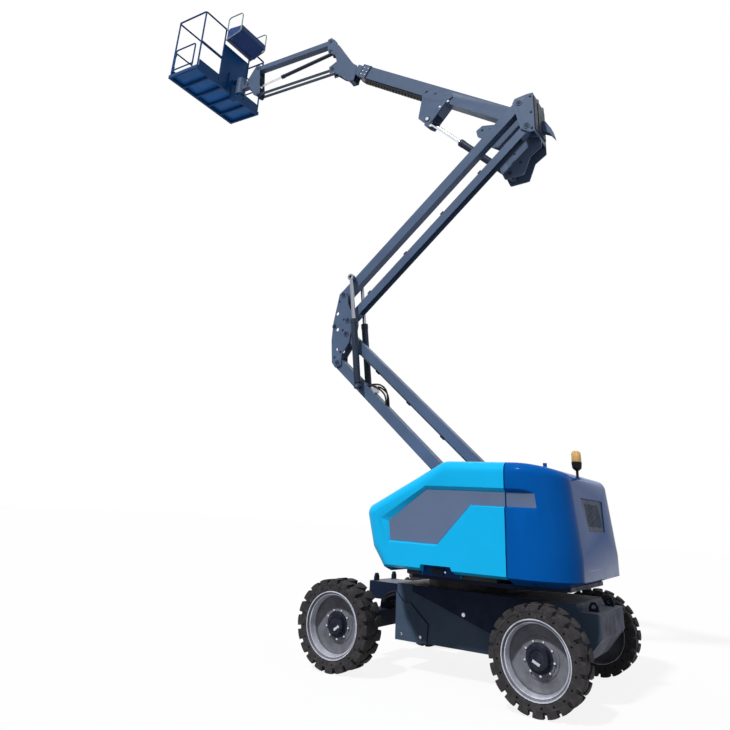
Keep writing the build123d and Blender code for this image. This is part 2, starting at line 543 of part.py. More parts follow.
ELBOW_OUTLINE = [(1845, 3225), (1905, 3300), (1935, 3600), (1925, 3850), (1850, 4255), (1790, 4305),
                 (1725, 4255), (1700, 4080), (1625, 3950), (1615, 3820), (1650, 3560), (1760, 3400),
                 (1755, 3260)]
ELBOW_HOLES = [(1865, 3975), (1850, 3750), (1830, 3480)]
ELBOW_HOLE_RADIUS = 24
elbow_plates = []
for y_low in (arm_low - PLATE_GAP - PLATE, arm_high + PLATE_GAP):
    elbow_plates.append(slab(ELBOW_OUTLINE, y_low, y_low + PLATE, 18))
elbow = elbow_plates[0] + elbow_plates[1]
for point in (ELBOW_ARM_PIN, ELBOW_LINK_PIN, ELBOW_UPPER_LINK_PIN, ELBOW_TOP_PIN):
    elbow += pin(point, PIN_RADIUS, arm_low - PLATE_GAP - PLATE, arm_high + PLATE_GAP + PLATE + 4)
for point in ELBOW_HOLES:
    elbow -= pin(point, ELBOW_HOLE_RADIUS, arm_low - PLATE_GAP - PLATE - 1, arm_high + PLATE_GAP + PLATE + 1)
NODES["elbow_plates"] = elbow

upper_arm = tube_between(ELBOW_TOP_PIN, UPRIGHT_TOP_PIN, ARM_Y, ARM_WIDTH, ARM_DEPTH, 58)
for y_low, y_high in ((arm_high - 1, RISER_CYLINDER_YS[0] - 50), (RISER_CYLINDER_YS[1] + 50, arm_low + 1)):
    upper_arm += pin(RISER_EYE, 30, y_low, y_high)
NODES["upper_arm"] = upper_arm
NODES["upper_link"] = link_between(ELBOW_UPPER_LINK_PIN, UPRIGHT_LOW_PIN, ARM_Y, ARM_WIDTH, LINK_DEPTH)


def cylinder_barrel(base_pin, eye, y, radius, length, bore_radius, pin_radius):
    """Hydraulic barrel from its base pin towards the rod's eye, open to the rod."""
    frame = along(base_pin, eye, y)
    run = Vector(eye[0] - base_pin[0], 0, eye[1] - base_pin[1]).normalized()
    start = Vector(base_pin[0], y, base_pin[1]) + run * (radius * 0.9)
    end = Vector(base_pin[0], y, base_pin[1]) + run * length
    body = bar(start, end, radius)
    body += bar((end - run * 60), end, radius + 4)
    body -= bar((start + run * 40), (end + run * 10), bore_radius)
    body += pin(base_pin, radius, y - radius * 0.7, y + radius * 0.7)
    return body - pin(base_pin, pin_radius + RUNNING_FIT, y - radius, y + radius)


def cylinder_rod(base_pin, eye, y, rod_radius, length, eye_radius, eye_bore):
    """Hydraulic rod from inside its barrel to its eye."""
    run = Vector(eye[0] - base_pin[0], 0, eye[1] - base_pin[1]).normalized()
    end = Vector(eye[0], y, eye[1])
    body = bar((end - run * length), (end - run * (eye_radius * 0.8)), rod_radius)
    body += pin(eye, eye_radius, y - rod_radius, y + rod_radius)
    return body - pin(eye, eye_bore, y - rod_radius - 1, y + rod_radius + 1)


riser_length = span(RISER_BARREL_PIN, RISER_EYE)
NODES["riser_barrels"] = Compound(children=[
    cylinder_barrel(RISER_BARREL_PIN, RISER_EYE, y, RISER_BARREL_RADIUS, 900,
                    RISER_ROD_RADIUS + SEAT_GAP, 22) for y in RISER_CYLINDER_YS])
NODES["riser_rods"] = Compound(children=[
    cylinder_rod(RISER_BARREL_PIN, RISER_EYE, y, RISER_ROD_RADIUS, riser_length - 560, 46, 24)
    for y in RISER_CYLINDER_YS])

# ---------------------------------------------------------------- upright
boom_low = BOOM_Y - BOOM_WIDTH / 2
boom_high = BOOM_Y + BOOM_WIDTH / 2
ARM_SIDE = [(-706, 6600), (-740, 6665), (-900, 6690), (-985, 6690), (-985, 6110), (-915, 6110),
            (-800, 6190), (-745, 6440)]
BOOM_SIDE = [(-985, 6010), (-985, 6740), (-900, 6800), (-770, 6770), (-640, 6480), (-180, 6560),
             (-90, 6500), (-110, 6400), (-420, 6180), (-420, 5790), (-480, 5640), (-740, 5660),
             (-830, 5900)]
upright = slab(ARM_SIDE, arm_high + PLATE_GAP, arm_high + PLATE_GAP + PLATE, 22)
upright += slab(ARM_SIDE, arm_low - PLATE_GAP - PLATE, arm_low - PLATE_GAP, 22)
upright += slab(BOOM_SIDE, boom_high + PLATE_GAP, boom_high + PLATE_GAP + PLATE, 22)
upright += slab(BOOM_SIDE, boom_low - PLATE_GAP - PLATE, boom_low - PLATE_GAP, 22)
upright += block(-985, -969, boom_low - PLATE_GAP - PLATE, arm_high + PLATE_GAP + PLATE, 6110, 6690)
for point in (UPRIGHT_TOP_PIN, UPRIGHT_LOW_PIN):
    upright += pin(point, PIN_RADIUS, arm_low - PLATE_GAP - PLATE, arm_high + PLATE_GAP + PLATE + 4)
for point, radius in ((BOOM_PIVOT, PIN_RADIUS), (BOOM_BARREL_PIN, 26)):
    upright += pin(point, radius, boom_low - PLATE_GAP - PLATE - 4, boom_high + PLATE_GAP + PLATE + 4)
HORN = [(-975, 6450), (-1040, 6420), (-1110, 6290), (-1146, 6137), (-1085, 6230), (-1000, 6280),
        (-975, 6200)]
upright += slab(HORN, BOOM_Y - 50, BOOM_Y - 34)
upright += slab(HORN, BOOM_Y + 34, BOOM_Y + 50)
NODES["upright"] = upright

# ---------------------------------------------------------------- boom
boom_frame = Plane(origin=(BOOM_PIVOT[0], BOOM_Y, BOOM_PIVOT[1]), x_dir=(BOOM_X[0], 0, BOOM_X[1]),
                   z_dir=(-BOOM_X[1], 0, BOOM_X[0]))


def on_boom(x_low, x_high, width, z_low, z_high, y=0):
    """Box set along the boom from its pivot, heights over the boom's middle line."""
    size = (x_high - x_low, width, z_high - z_low)
    shift = Pos((x_low + x_high) / 2, y, (z_low + z_high) / 2 - BOOM_PIVOT_LIFT)
    return boom_frame * shift * Box(*size)


half = BOOM_DEPTH / 2
boom = on_boom(60, BOOM_LENGTH, BOOM_WIDTH, -half, half)
boom -= on_boom(60, BOOM_LENGTH + 1, BOOM_WIDTH - 2 * TUBE_WALL, -half + TUBE_WALL, half - TUBE_WALL)
boom += on_boom(-30, 200, BOOM_WIDTH, 0, half)
boom += pin(BOOM_PIVOT, BOSS_RADIUS, boom_low, boom_high)
boom -= pin(BOOM_PIVOT, PIN_RADIUS + RUNNING_FIT, boom_low - 1, boom_high + 1)
collar = on_boom(BOOM_LENGTH - 170, BOOM_LENGTH, BOOM_WIDTH + 18, -half - 9, half + 9)
collar -= on_boom(BOOM_LENGTH - 171, BOOM_LENGTH + 1, BOOM_WIDTH - 1, -half + 1, half - 1)
boom += collar
pads = on_boom(BOOM_LENGTH - 60, BOOM_LENGTH, BOOM_WIDTH - 1, -half + 1, half - 1)
pads -= on_boom(BOOM_LENGTH - 61, BOOM_LENGTH + 1, INNER_WIDTH + 2 * SEAT_GAP,
                -INNER_DEPTH / 2 - SEAT_GAP, INNER_DEPTH / 2 + SEAT_GAP)
boom += pads
BRACKET = [(762, 7361), (826, 6984), (720, 6870), (649, 6821), (375, 7138), (268, 7201), (290, 7290)]
BRACKET_HOLES = [(685, 7416), (542, 7325), (393, 7234)]
BRACKET_WEB = [(375, 7138), (512, 6979), (505, 6973), (368, 7132)]
for y_low in (boom_high, boom_low - PLATE):
    cheek = slab(BRACKET, y_low, y_low + PLATE, 14)
    boom += cheek
boom += slab(BRACKET_WEB, boom_low - 1, boom_high + 1)
NODES["boom_outer"] = boom

rear = 420
inner = on_boom(rear, BOOM_LENGTH + 130, INNER_WIDTH, -INNER_DEPTH / 2, INNER_DEPTH / 2)
inner -= on_boom(rear - 1, BOOM_LENGTH + 131, INNER_WIDTH - 12, -INNER_DEPTH / 2 + 6, INNER_DEPTH / 2 - 6)
shoe = on_boom(rear, rear + 70, BOOM_WIDTH - 2 * TUBE_WALL - 2 * SEAT_GAP,
               -half + TUBE_WALL + SEAT_GAP, half - TUBE_WALL - SEAT_GAP)
shoe -= on_boom(rear - 1, rear + 71, INNER_WIDTH - 12, -INNER_DEPTH / 2 + 6, INNER_DEPTH / 2 - 6)
inner += shoe
JIB_LINK_BASE = add(JIB_BASE, JIB_LINK_OFFSET)
NOSE_HALF = 70                     # from the middle plane to the nose's side plates
NOSE = moved([(-590, -730), (-510, -660), (-351, -435), (-82, -10), (-10, 75), (65, 60),
              (65, -70), (35, -230), (-10, -255), (-120, -330), (-160, -490), (-10, -560),
              (-30, -690), (-120, -690), (-263, -821), (-360, -878), (-437, -998), (-540, -1000)], JIB_BASE)
for y_low in (BOOM_Y + NOSE_HALF, BOOM_Y - NOSE_HALF - PLATE):
    inner += slab(NOSE, y_low, y_low + PLATE)
NOSE_TOP_PLATE = [(-560, -750), (-351, -450), (-160, -150), (-140, -170), (-320, -490), (-450, -730)]
NOSE_LOW_PLATE = [(-520, -990), (-437, -990), (-360, -870), (-263, -813), (-270, -795), (-375, -850)]
for outline in (NOSE_TOP_PLATE, NOSE_LOW_PLATE):
    inner += slab(moved(outline, JIB_BASE), BOOM_Y - NOSE_HALF - 5, BOOM_Y + NOSE_HALF + 5)
nose_outside = NOSE_HALF + PLATE + 4
for point, radius in ((JIB_BASE, PIN_RADIUS), (JIB_BARREL_PIN, 18)):
    inner += pin(point, radius, BOOM_Y - nose_outside, BOOM_Y + nose_outside)
inner += pin(JIB_LINK_BASE, 22, BOOM_Y + JIB_LINK_INNER, BOOM_Y + nose_outside)
inner += pin(JIB_LINK_BASE, 22, BOOM_Y - nose_outside, BOOM_Y - JIB_LINK_INNER)
NODES["boom_inner"] = inner

CARRIER_START = 1750
CARRIER_PITCH = 65
CARRIER_WIDTH = 60
CARRIER_Y = 55                     # from the boom's middle plane
carrier = on_boom(CARRIER_START, BOOM_LENGTH - 200, CARRIER_WIDTH, -half - 70, -half, CARRIER_Y)
for i in range(1, int((BOOM_LENGTH - 200 - CARRIER_START) / CARRIER_PITCH)):
    x = CARRIER_START + i * CARRIER_PITCH
    carrier -= on_boom(x, x + 16, CARRIER_WIDTH + 2, -half - 71, -half - 40, CARRIER_Y)
NODES["hose_carrier"] = carrier

NODES["boom_cylinder_barrel"] = cylinder_barrel(
    BOOM_BARREL_PIN, BOOM_ROD_PIN, BOOM_Y, BOOM_BARREL_RADIUS, 1040, BOOM_ROD_RADIUS + SEAT_GAP, 26)
NODES["boom_cylinder_rod"] = cylinder_rod(
    BOOM_BARREL_PIN, BOOM_ROD_PIN, BOOM_Y, BOOM_ROD_RADIUS,
    span(BOOM_BARREL_PIN, BOOM_ROD_PIN) - 560, 48, 26)

# ---------------------------------------------------------------- jib
JIB_LINK_TIP = add(JIB_TIP, JIB_LINK_OFFSET)
jib_low = BOOM_Y - JIB_WIDTH / 2
jib_high = BOOM_Y + JIB_WIDTH / 2
NODES["jib_arm"] = tube_between(JIB_BASE, JIB_TIP, BOOM_Y, JIB_WIDTH, JIB_DEPTH, 48)
link_bars = []
for side in (1, -1):
    middle = BOOM_Y + side * (JIB_LINK_INNER + JIB_LINK_THICK / 2)
    low, high = middle - JIB_LINK_THICK / 2, middle + JIB_LINK_THICK / 2
    frame = along(JIB_LINK_BASE, JIB_LINK_TIP, middle)
    link_length = span(JIB_LINK_BASE, JIB_LINK_TIP)
    link = frame * Pos(link_length / 2, 0, 0) * Box(link_length, JIB_LINK_THICK, JIB_LINK_DEPTH)
    for point in (JIB_LINK_BASE, JIB_LINK_TIP):
        link += pin(point, JIB_LINK_DEPTH / 2 + 8, low, high)
        link -= pin(point, 22 + RUNNING_FIT, low - 1, high + 1)
    link_bars.append(link)
NODES["jib_link"] = Compound(children=link_bars)
NODES["jib_cylinder_barrel"] = cylinder_barrel(
    JIB_BARREL_PIN, JIB_ROD_EYE, BOOM_Y, JIB_BARREL_RADIUS, 1130, JIB_ROD_RADIUS + SEAT_GAP, 18)
NODES["jib_cylinder_rod"] = cylinder_rod(
    JIB_BARREL_PIN, JIB_ROD_EYE, BOOM_Y, JIB_ROD_RADIUS,
    span(JIB_BARREL_PIN, JIB_ROD_EYE) - 760, 34, 20)

TIP_SIDE = moved([(-40, 61), (50, 61), (140, -74), (260, -254), (250, -344), (150, -364),
                  (20, -594), (-80, -664), (-130, -594), (-90, -354), (-60, -74)], JIB_TIP)
tip = slab(TIP_SIDE, jib_high + PLATE_GAP, jib_high + PLATE_GAP + 12)
tip += slab(TIP_SIDE, jib_low - PLATE_GAP - 12, jib_low - PLATE_GAP)
tip += block(JIB_TIP[0] + 95, JIB_TIP[0] + 115, jib_low - PLATE_GAP - 1, jib_high + PLATE_GAP + 1,
             JIB_TIP[1] - 354, JIB_TIP[1] - 74)
tip_outside = JIB_WIDTH / 2 + PLATE_GAP + 16
for point, radius in ((JIB_TIP, PIN_RADIUS), (LEVEL_PIN, 22)):
    tip += pin(point, radius, BOOM_Y - tip_outside, BOOM_Y + tip_outside)
tip += pin(JIB_LINK_TIP, 22, BOOM_Y + JIB_LINK_INNER, BOOM_Y + tip_outside)
tip += pin(JIB_LINK_TIP, 22, BOOM_Y - tip_outside, BOOM_Y - JIB_LINK_INNER)
NODES["jib_end"] = tip

# ---------------------------------------------------------------- platform support
support = block(LEVEL_PIN[0], ROTATOR_X - 60, BOOM_Y - 50, BOOM_Y + 50,
                LEVEL_PIN[1] - 40, LEVEL_PIN[1] + 40)
support += pin(LEVEL_PIN, 40, BOOM_Y - 50, BOOM_Y + 50)
support -= pin(LEVEL_PIN, 22 + RUNNING_FIT, BOOM_Y - 60, BOOM_Y + 60)
ROTATOR_BOTTOM = LEVEL_PIN[1] - 120
ROTATOR_TOP = LEVEL_PIN[1] + 220
MOUNT_BOTTOM = ROTATOR_BOTTOM - 50
MOUNT_TOP = ROTATOR_TOP + 50
support += Pos(ROTATOR_X, BOOM_Y, ROTATOR_BOTTOM) * Cylinder(
    95, ROTATOR_TOP - ROTATOR_BOTTOM, align=(Align.CENTER, Align.CENTER, Align.MIN))
NODES["rotator"] = support

# ---------------------------------------------------------------- platform
x0, x1 = PLATFORM_X
y0, y1 = PLATFORM_Y
floor = block(x0, x1, y0, y1, FLOOR_TOP - 12, FLOOR_TOP)
for x in (x0, x1 - 50):
    floor += block(x, x + 50, y0, y1, FLOOR_BOTTOM, FLOOR_TOP)
for i in range(6):
    y = y0 + i * (y1 - y0 - 40) / 5
    floor += block(x0, x1, y, y + 40, FLOOR_BOTTOM, FLOOR_TOP)
NODES["platform_floor"] = floor

r = RAIL_RADIUS
xr0, xr1, yr0, yr1 = x0 + r, x1 - r, y0 + r, y1 - r
gate_x = xr0 + 150
corner_radius = 40
corner_inset = 12                   # puts a corner post under the bend of the rails
rail_end = r + 3                    # how far a rail runs past the post that ends it
top_path = FilletPolyline((xr0, CONSOLE_Y[0] + rail_end, TOP_RAIL_Z), (xr0, yr0, TOP_RAIL_Z),
                          (xr1, yr0, TOP_RAIL_Z), (xr1, yr1, TOP_RAIL_Z), (xr0, yr1, TOP_RAIL_Z),
                          (xr0, CONSOLE_Y[1] - rail_end, TOP_RAIL_Z), radius=corner_radius)
rails = sweep(Plane(origin=top_path @ 0, z_dir=top_path % 0) * Circle(r), top_path)
post_r = r - 1
posts = [(xr0 + corner_inset, yr0 + corner_inset), (xr1 - corner_inset, yr0 + corner_inset),
         (xr0 + corner_inset, yr1 - corner_inset), (xr1 - corner_inset, yr1 - corner_inset),
         (xr0, CONSOLE_Y[0]), (xr0, CONSOLE_Y[1])]
for x, y in posts:
    rails += bar((x, y, FLOOR_TOP), (x, y, TOP_RAIL_Z), post_r)
mid_r = r - 2
mid_path = FilletPolyline((xr0, CONSOLE_Y[0] + 5, MID_RAIL_Z), (xr0, yr0, MID_RAIL_Z),
                          (xr1, yr0, MID_RAIL_Z), (xr1, yr1 - corner_inset - 3, MID_RAIL_Z),
                          radius=corner_radius)
rails += sweep(Plane(origin=mid_path @ 0, z_dir=mid_path % 0) * Circle(mid_r), mid_path)
rails += bar((xr0, CONSOLE_Y[1] - 5, MID_RAIL_Z), (xr0, yr1 - corner_inset - 3, MID_RAIL_Z), mid_r)
# hinge rings round the gate's post
GATE_HINGE = (xr1 - 60, yr1)
GATE_TUBE_RADIUS = 14.5
for z in (FLOOR_TOP + 160, MID_RAIL_Z - 110):
    ring = Pos(GATE_HINGE[0], GATE_HINGE[1], z) * Cylinder(22, 30)
    ring += block(GATE_HINGE[0], xr1 - corner_inset, yr1 - corner_inset - 6, yr1 - corner_inset + 6, z - 15, z + 15)
    rails += ring
    rails -= Pos(GATE_HINGE[0], GATE_HINGE[1], z) * Cylinder(GATE_TUBE_RADIUS + SEAT_GAP, 40)
NODES["platform_rails"] = rails

t = 4
corner_end = r + corner_inset + post_r + SEAT_GAP
post_end = post_r + SEAT_GAP
toe_top = FLOOR_TOP + TOE_BOARD
toe = Compound(children=[
    block(x0 + corner_end, x1 - corner_end, yr0 - t / 2, yr0 + t / 2, FLOOR_TOP, toe_top),
    block(xr1 - t / 2, xr1 + t / 2, y0 + corner_end, y1 - corner_end, FLOOR_TOP, toe_top),
    block(xr0 - t / 2, xr0 + t / 2, y0 + corner_end, CONSOLE_Y[0] - post_end, FLOOR_TOP, toe_top),
    block(xr0 - t / 2, xr0 + t / 2, CONSOLE_Y[1] + post_end, y1 - corner_end, FLOOR_TOP, toe_top)])
NODES["toe_boards"] = toe

panel = block(xr0 - 3, xr0 + 3, CONSOLE_Y[0] + post_end, CONSOLE_Y[1] - post_end, FLOOR_TOP, FLOOR_TOP + 895)
panel += block(x0 - 20, xr0 - 3, BOOM_Y - 150, BOOM_Y + 150, FLOOR_TOP, FLOOR_TOP + 345)
panel += block(x0 - 20, x0, BOOM_Y - 150, BOOM_Y + 150, FLOOR_BOTTOM, FLOOR_TOP + 1)
panel += block(x0 - 40, x0, BOOM_Y - 60, BOOM_Y + 60, MOUNT_BOTTOM, MOUNT_TOP)
for z_low, z_high in ((MOUNT_BOTTOM, ROTATOR_BOTTOM - SEAT_GAP), (ROTATOR_TOP + SEAT_GAP, MOUNT_TOP)):
    panel += block(ROTATOR_X - 60, x0, BOOM_Y - 60, BOOM_Y + 60, z_low, z_high)
NODES["platform_mount"] = panel

GUARD_RADIUS = 13
GUARD_TOP = TOP_RAIL_Z + 260
guard_x = xr0 - r - GUARD_RADIUS - SEAT_GAP
xc = x0 - 390
console_inset = GUARD_RADIUS + SEAT_GAP
# (x, height over the top rail)
CONSOLE_OUTLINE = [(xc, -150), (xc, -30), (x0 - 60, 10), (x0 - 5, -30), (x0 - 5, -280), (x0 - 150, -310)]
NODES["console"] = slab(moved(CONSOLE_OUTLINE, (0, TOP_RAIL_Z)), CONSOLE_Y[0] + console_inset, CONSOLE_Y[1] - console_inset)

guards = []
for y in CONSOLE_Y:
    path = FilletPolyline((guard_x, y, TOP_RAIL_Z - 40), (guard_x, y, GUARD_TOP), (xc + 10, y, GUARD_TOP),
                          (xc + 10, y, TOP_RAIL_Z - 180), (guard_x, y, TOP_RAIL_Z - 280), radius=70)
    guards.append(sweep(Plane(origin=path @ 0, z_dir=path % 0) * Circle(GUARD_RADIUS), path))
NODES["console_guards"] = Compound(children=guards)

GATE_BOTTOM_Z = FLOOR_TOP + 60
gate = FilletPolyline((GATE_HINGE[0], yr1, GATE_BOTTOM_Z), (GATE_HINGE[0], yr1, MID_RAIL_Z),
                      (gate_x, yr1, MID_RAIL_Z), (gate_x, yr1, GATE_BOTTOM_Z), radius=corner_radius)
gate = sweep(Plane(origin=gate @ 0, z_dir=gate % 0) * Circle(GATE_TUBE_RADIUS), gate)
gate += bar((GATE_HINGE[0], yr1, GATE_BOTTOM_Z + 40), (gate_x, yr1, GATE_BOTTOM_Z + 40), GATE_TUBE_RADIUS - 1)
NODES["platform_gate"] = gate

# ---------------------------------------------------------------- origin and export
whole = None
for name, solid in NODES.items():
    box = solid.bounding_box()
    low, high = box.min, box.max
    if whole is None:
        whole = [low.X, low.Y, low.Z, high.X, high.Y, high.Z]
    else:
        whole = [min(whole[0], low.X), min(whole[1], low.Y), min(whole[2], low.Z),
                 max(whole[3], high.X), max(whole[4], high.Y), max(whole[5], high.Z)]
ORIGIN = ((whole[0] + whole[3]) / 2, (whole[1] + whole[4]) / 2, whole[2])
print("origin", ORIGIN, "box", whole)
for name, solid in NODES.items():
    export_step(Pos(-ORIGIN[0], -ORIGIN[1], -ORIGIN[2]) * solid, f"parts/{name}.step")
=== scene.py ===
"""Looks of an articulating boom lift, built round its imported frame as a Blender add-on.

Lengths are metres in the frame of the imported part: +X forwards to the platform end, +Y to the
left side, +Z up, and the origin on the ground under the middle of the machine's box.
"""
import json
from math import cos, pi, radians, sin, tau

import bmesh
import bpy
from bpy.props import FloatProperty, FloatVectorProperty, IntProperty, PointerProperty
from mathutils import Matrix, Vector


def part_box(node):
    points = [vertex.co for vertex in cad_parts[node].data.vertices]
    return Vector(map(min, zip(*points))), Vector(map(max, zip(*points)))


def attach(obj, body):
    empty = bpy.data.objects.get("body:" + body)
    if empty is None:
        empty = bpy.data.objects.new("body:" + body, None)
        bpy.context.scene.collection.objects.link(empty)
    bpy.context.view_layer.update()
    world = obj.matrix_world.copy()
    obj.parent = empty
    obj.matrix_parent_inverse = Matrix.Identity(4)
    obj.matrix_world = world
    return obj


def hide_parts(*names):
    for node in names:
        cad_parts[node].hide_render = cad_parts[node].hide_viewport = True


bl_info = {
    "name": "Articulating boom lift",
    "version": (1, 0, 0),
    "blender": (4, 5, 0),
    "location": "View3D > Sidebar > Boom lift",
    "description": "Dresses the packed frame of an articulating boom lift",
    "category": "Object",
}

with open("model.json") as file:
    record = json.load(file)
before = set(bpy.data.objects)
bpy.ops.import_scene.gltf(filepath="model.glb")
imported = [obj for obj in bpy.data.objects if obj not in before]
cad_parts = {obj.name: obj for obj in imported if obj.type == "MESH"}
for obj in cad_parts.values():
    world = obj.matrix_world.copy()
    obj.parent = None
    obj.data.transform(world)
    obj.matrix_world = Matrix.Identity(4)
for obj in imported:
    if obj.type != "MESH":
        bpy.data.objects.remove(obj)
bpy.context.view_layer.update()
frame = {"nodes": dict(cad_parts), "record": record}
WHEELS = [(end, side) for end in ("front", "rear") for side in ("left", "right")]
ORIGIN = (2.1456211, 0.0, 0.0012422)          # the frame's origin in the machine's own measures


def at(x, y, z):
    """Point given in the machine's millimetres: X from the slewing axis, Z from the ground."""
    return Vector((x / 1000 - ORIGIN[0], y / 1000 - ORIGIN[1], z / 1000 - ORIGIN[2]))


# ---------------------------------------------------------------- sizes and colours
def colour(name, description, value):
    """Colour property with its default in linear light."""
    return FloatVectorProperty(name=name, description=description, subtype="COLOR", size=3,
                               min=0.0, max=1.0, default=value)


def length(name, description, value):
    """Length property in metres."""
    return FloatProperty(name=name, description=description, subtype="DISTANCE", unit="LENGTH",
                         min=0.0, default=value)


class BoomLiftPaint(bpy.types.PropertyGroup):
    """Colours of the machine's finishes."""
    cover: colour("Cover blue", "Gloss paint of the side covers", (0.006, 0.5, 0.95))
    tail: colour("Tail blue", "Gloss paint of the counterweight", (0.001, 0.1, 0.42))
    panel: colour("Panel grey", "Matt recessed panels of the covers", (0.13, 0.18, 0.29))
    slate: colour("Boom slate", "Satin paint of arms and boom", (0.085, 0.13, 0.225))
    navy: colour("Dark navy", "Satin paint of the chassis", (0.008, 0.015, 0.04))
    side: colour("Side plate slate", "Lower side plates of the chassis", (0.062, 0.095, 0.15))
    cage: colour("Platform blue", "Paint of the platform", (0.006, 0.075, 0.25))
    rim: colour("Rim silver", "Worn silver paint of the rims", (0.5, 0.52, 0.6))
    rubber: colour("Rubber", "Worn tyre rubber", (0.04, 0.038, 0.042))
    console: colour("Console cover", "Moulded cover of the controls", (0.03, 0.075, 0.26))
    amber: colour("Amber", "Lens of the beacon", (0.85, 0.5, 0.16))


class BoomLiftWheels(bpy.types.PropertyGroup):
    """Sizes of tyres and rims."""
    lugs: IntProperty(name="Lugs", description="Lugs on each shoulder of a tyre", min=8, default=20)
    lug_height: length("Lug height", "How far the lugs stand out of the tread", 0.02)
    lug_width: length("Lug width", "Width of a lug round the tyre", 0.094)
    holes: IntProperty(name="Side holes", description="Small holes round the sidewall", min=6,
                       default=20)
    hole_radius: length("Hole radius", "Radius of a hole in the sidewall", 0.0095)
    bolts: IntProperty(name="Wheel bolts", description="Bolts on each hub", min=4, default=9)


class BoomLiftDetails(bpy.types.PropertyGroup):
    """Sizes of the small detail."""
    plate_edge: length("Plate edge", "Rounding of cut plate edges", 0.004)
    tube_edge: length("Tube edge", "Rounding of the arms' corners", 0.011)
    cover_edge: length("Cover edge", "Rounding of the moulded covers' cut edges", 0.006)
    bolt_radius: length("Bolt radius", "Across-corner radius of a bolt head", 0.014)
    hose_radius: length("Hose radius", "Radius of a hydraulic hose", 0.011)


class BoomLiftStage(bpy.types.PropertyGroup):
    """Floor and lights."""
    floor: colour("Floor", "Pale floor and backdrop", (0.93, 0.93, 0.93))
    key: FloatProperty(name="Key light", description="Strength of the key light", min=0.0, default=2.9)
    fill: FloatProperty(name="Fill light", description="Strength of the fill light", min=0.0,
                        default=0.12)
    world: FloatProperty(name="World light", description="Strength of the surrounding light", min=0.0,
                         default=0.27)


# ---------------------------------------------------------------- finishes
FINISHES = {}


class Nodes:
    """Short way to add and link the nodes of one material."""

    def __init__(self, name):
        self.material = bpy.data.materials.new(name)
        self.material.use_nodes = True
        self.tree = self.material.node_tree
        self.shader = self.tree.nodes["Principled BSDF"]
        self.coordinates = self.tree.nodes.new("ShaderNodeTexCoord").outputs["Object"]

    def add(self, kind, **values):
        node = self.tree.nodes.new(kind)
        for key, value in values.items():
            setattr(node, key, value)
        return node

    def link(self, output, target):
        self.tree.links.new(output, target)

    def noise(self, scale, detail=4.0, roughness=0.55, stretch=None):
        """Noise on the piece's own coordinates, stretched along an axis if asked."""
        source = self.coordinates
        if stretch:
            mapping = self.add("ShaderNodeMapping")
            mapping.inputs["Scale"].default_value = stretch
            self.link(source, mapping.inputs["Vector"])
            source = mapping.outputs["Vector"]
        node = self.add("ShaderNodeTexNoise")
        node.inputs["Scale"].default_value = scale
        node.inputs["Detail"].default_value = detail
        node.inputs["Roughness"].default_value = roughness
        self.link(source, node.inputs["Vector"])
        return node.outputs["Fac"]

    def spread(self, value, low, high, to_low=0.0, to_high=1.0):
        """Value mapped from one range to another, clamped."""
        node = self.add("ShaderNodeMapRange")
        for socket, number in (("From Min", low), ("From Max", high), ("To Min", to_low),
                               ("To Max", to_high)):
            node.inputs[socket].default_value = number
        self.link(value, node.inputs["Value"])
        return node.outputs["Result"]

    def mix(self, factor, first, second):
        """Colour mix; first and second are colours or sockets."""
        node = self.add("ShaderNodeMix", data_type="RGBA")
        self.link(factor, node.inputs["Factor"])
        for socket, value in ((node.inputs[6], first), (node.inputs[7], second)):
            if isinstance(value, bpy.types.NodeSocket):
                self.link(value, socket)
            else:
                socket.default_value = (*value, 1.0)
        return node.outputs[2]

    def times(self, first, second):
        node = self.add("ShaderNodeMath", operation="MULTIPLY")
        self.link(first, node.inputs[0])
        self.link(second, node.inputs[1])
        return node.outputs[0]

    def bump(self, height, strength, distance):
        node = self.add("ShaderNodeBump")
        node.inputs["Strength"].default_value = strength
        node.inputs["Distance"].default_value = distance
        self.link(height, node.inputs["Height"])
        self.link(node.outputs["Normal"], self.shader.inputs["Normal"])


def shade(rgb, factor):
    """Colour made lighter or darker."""
    return tuple(min(1.0, c * factor) for c in rgb)


def painted(name, rgb, roughness=0.35, gloss=0.25, variation=0.12, dust=0.25, peel=0.15,
            dust_rgb=(0.2, 0.2, 0.22), dust_height=1.4):
    """Paint with slight colour drift, orange peel, and dust that gathers low down."""
    n = Nodes(name)
    drift = n.spread(n.noise(1.7), 0.3, 0.7)
    base = n.mix(drift, shade(rgb, 1.0 - variation), shade(rgb, 1.0 + variation))
    split = n.add("ShaderNodeSeparateXYZ")
    n.link(n.coordinates, split.inputs["Vector"])
    low_down = n.spread(split.outputs["Z"], 0.2, dust_height, 1.0, 0.12)
    patches = n.spread(n.noise(9.0, 8.0, 0.65), 0.48, 0.75, 0.0, dust)
    base = n.mix(n.times(low_down, patches), base, dust_rgb)
    n.link(base, n.shader.inputs["Base Color"])
    n.link(n.spread(n.noise(6.0, 6.0), 0.3, 0.75, roughness * 0.85, min(1.0, roughness * 1.35)),
           n.shader.inputs["Roughness"])
    n.shader.inputs["Specular IOR Level"].default_value = gloss
    n.bump(n.noise(260.0, 2.0), peel, 0.0004)
    return n.material


def bare_metal(name, rgb, roughness=0.3, streak=(1.0, 1.0, 1.0), variation=0.15):
    """Bare or plated metal with fine drawn streaks."""
    n = Nodes(name)
    drift = n.spread(n.noise(14.0, 6.0, 0.6, streak), 0.3, 0.7)
    n.link(n.mix(drift, shade(rgb, 1.0 - variation), shade(rgb, 1.0 + variation)),
           n.shader.inputs["Base Color"])
    n.link(n.spread(n.noise(40.0, 4.0, 0.5, streak), 0.3, 0.7, roughness * 0.7, roughness * 1.4),
           n.shader.inputs["Roughness"])
    n.shader.inputs["Metallic"].default_value = 1.0
    n.bump(n.noise(180.0, 3.0, 0.5, streak), 0.12, 0.0003)
    return n.material


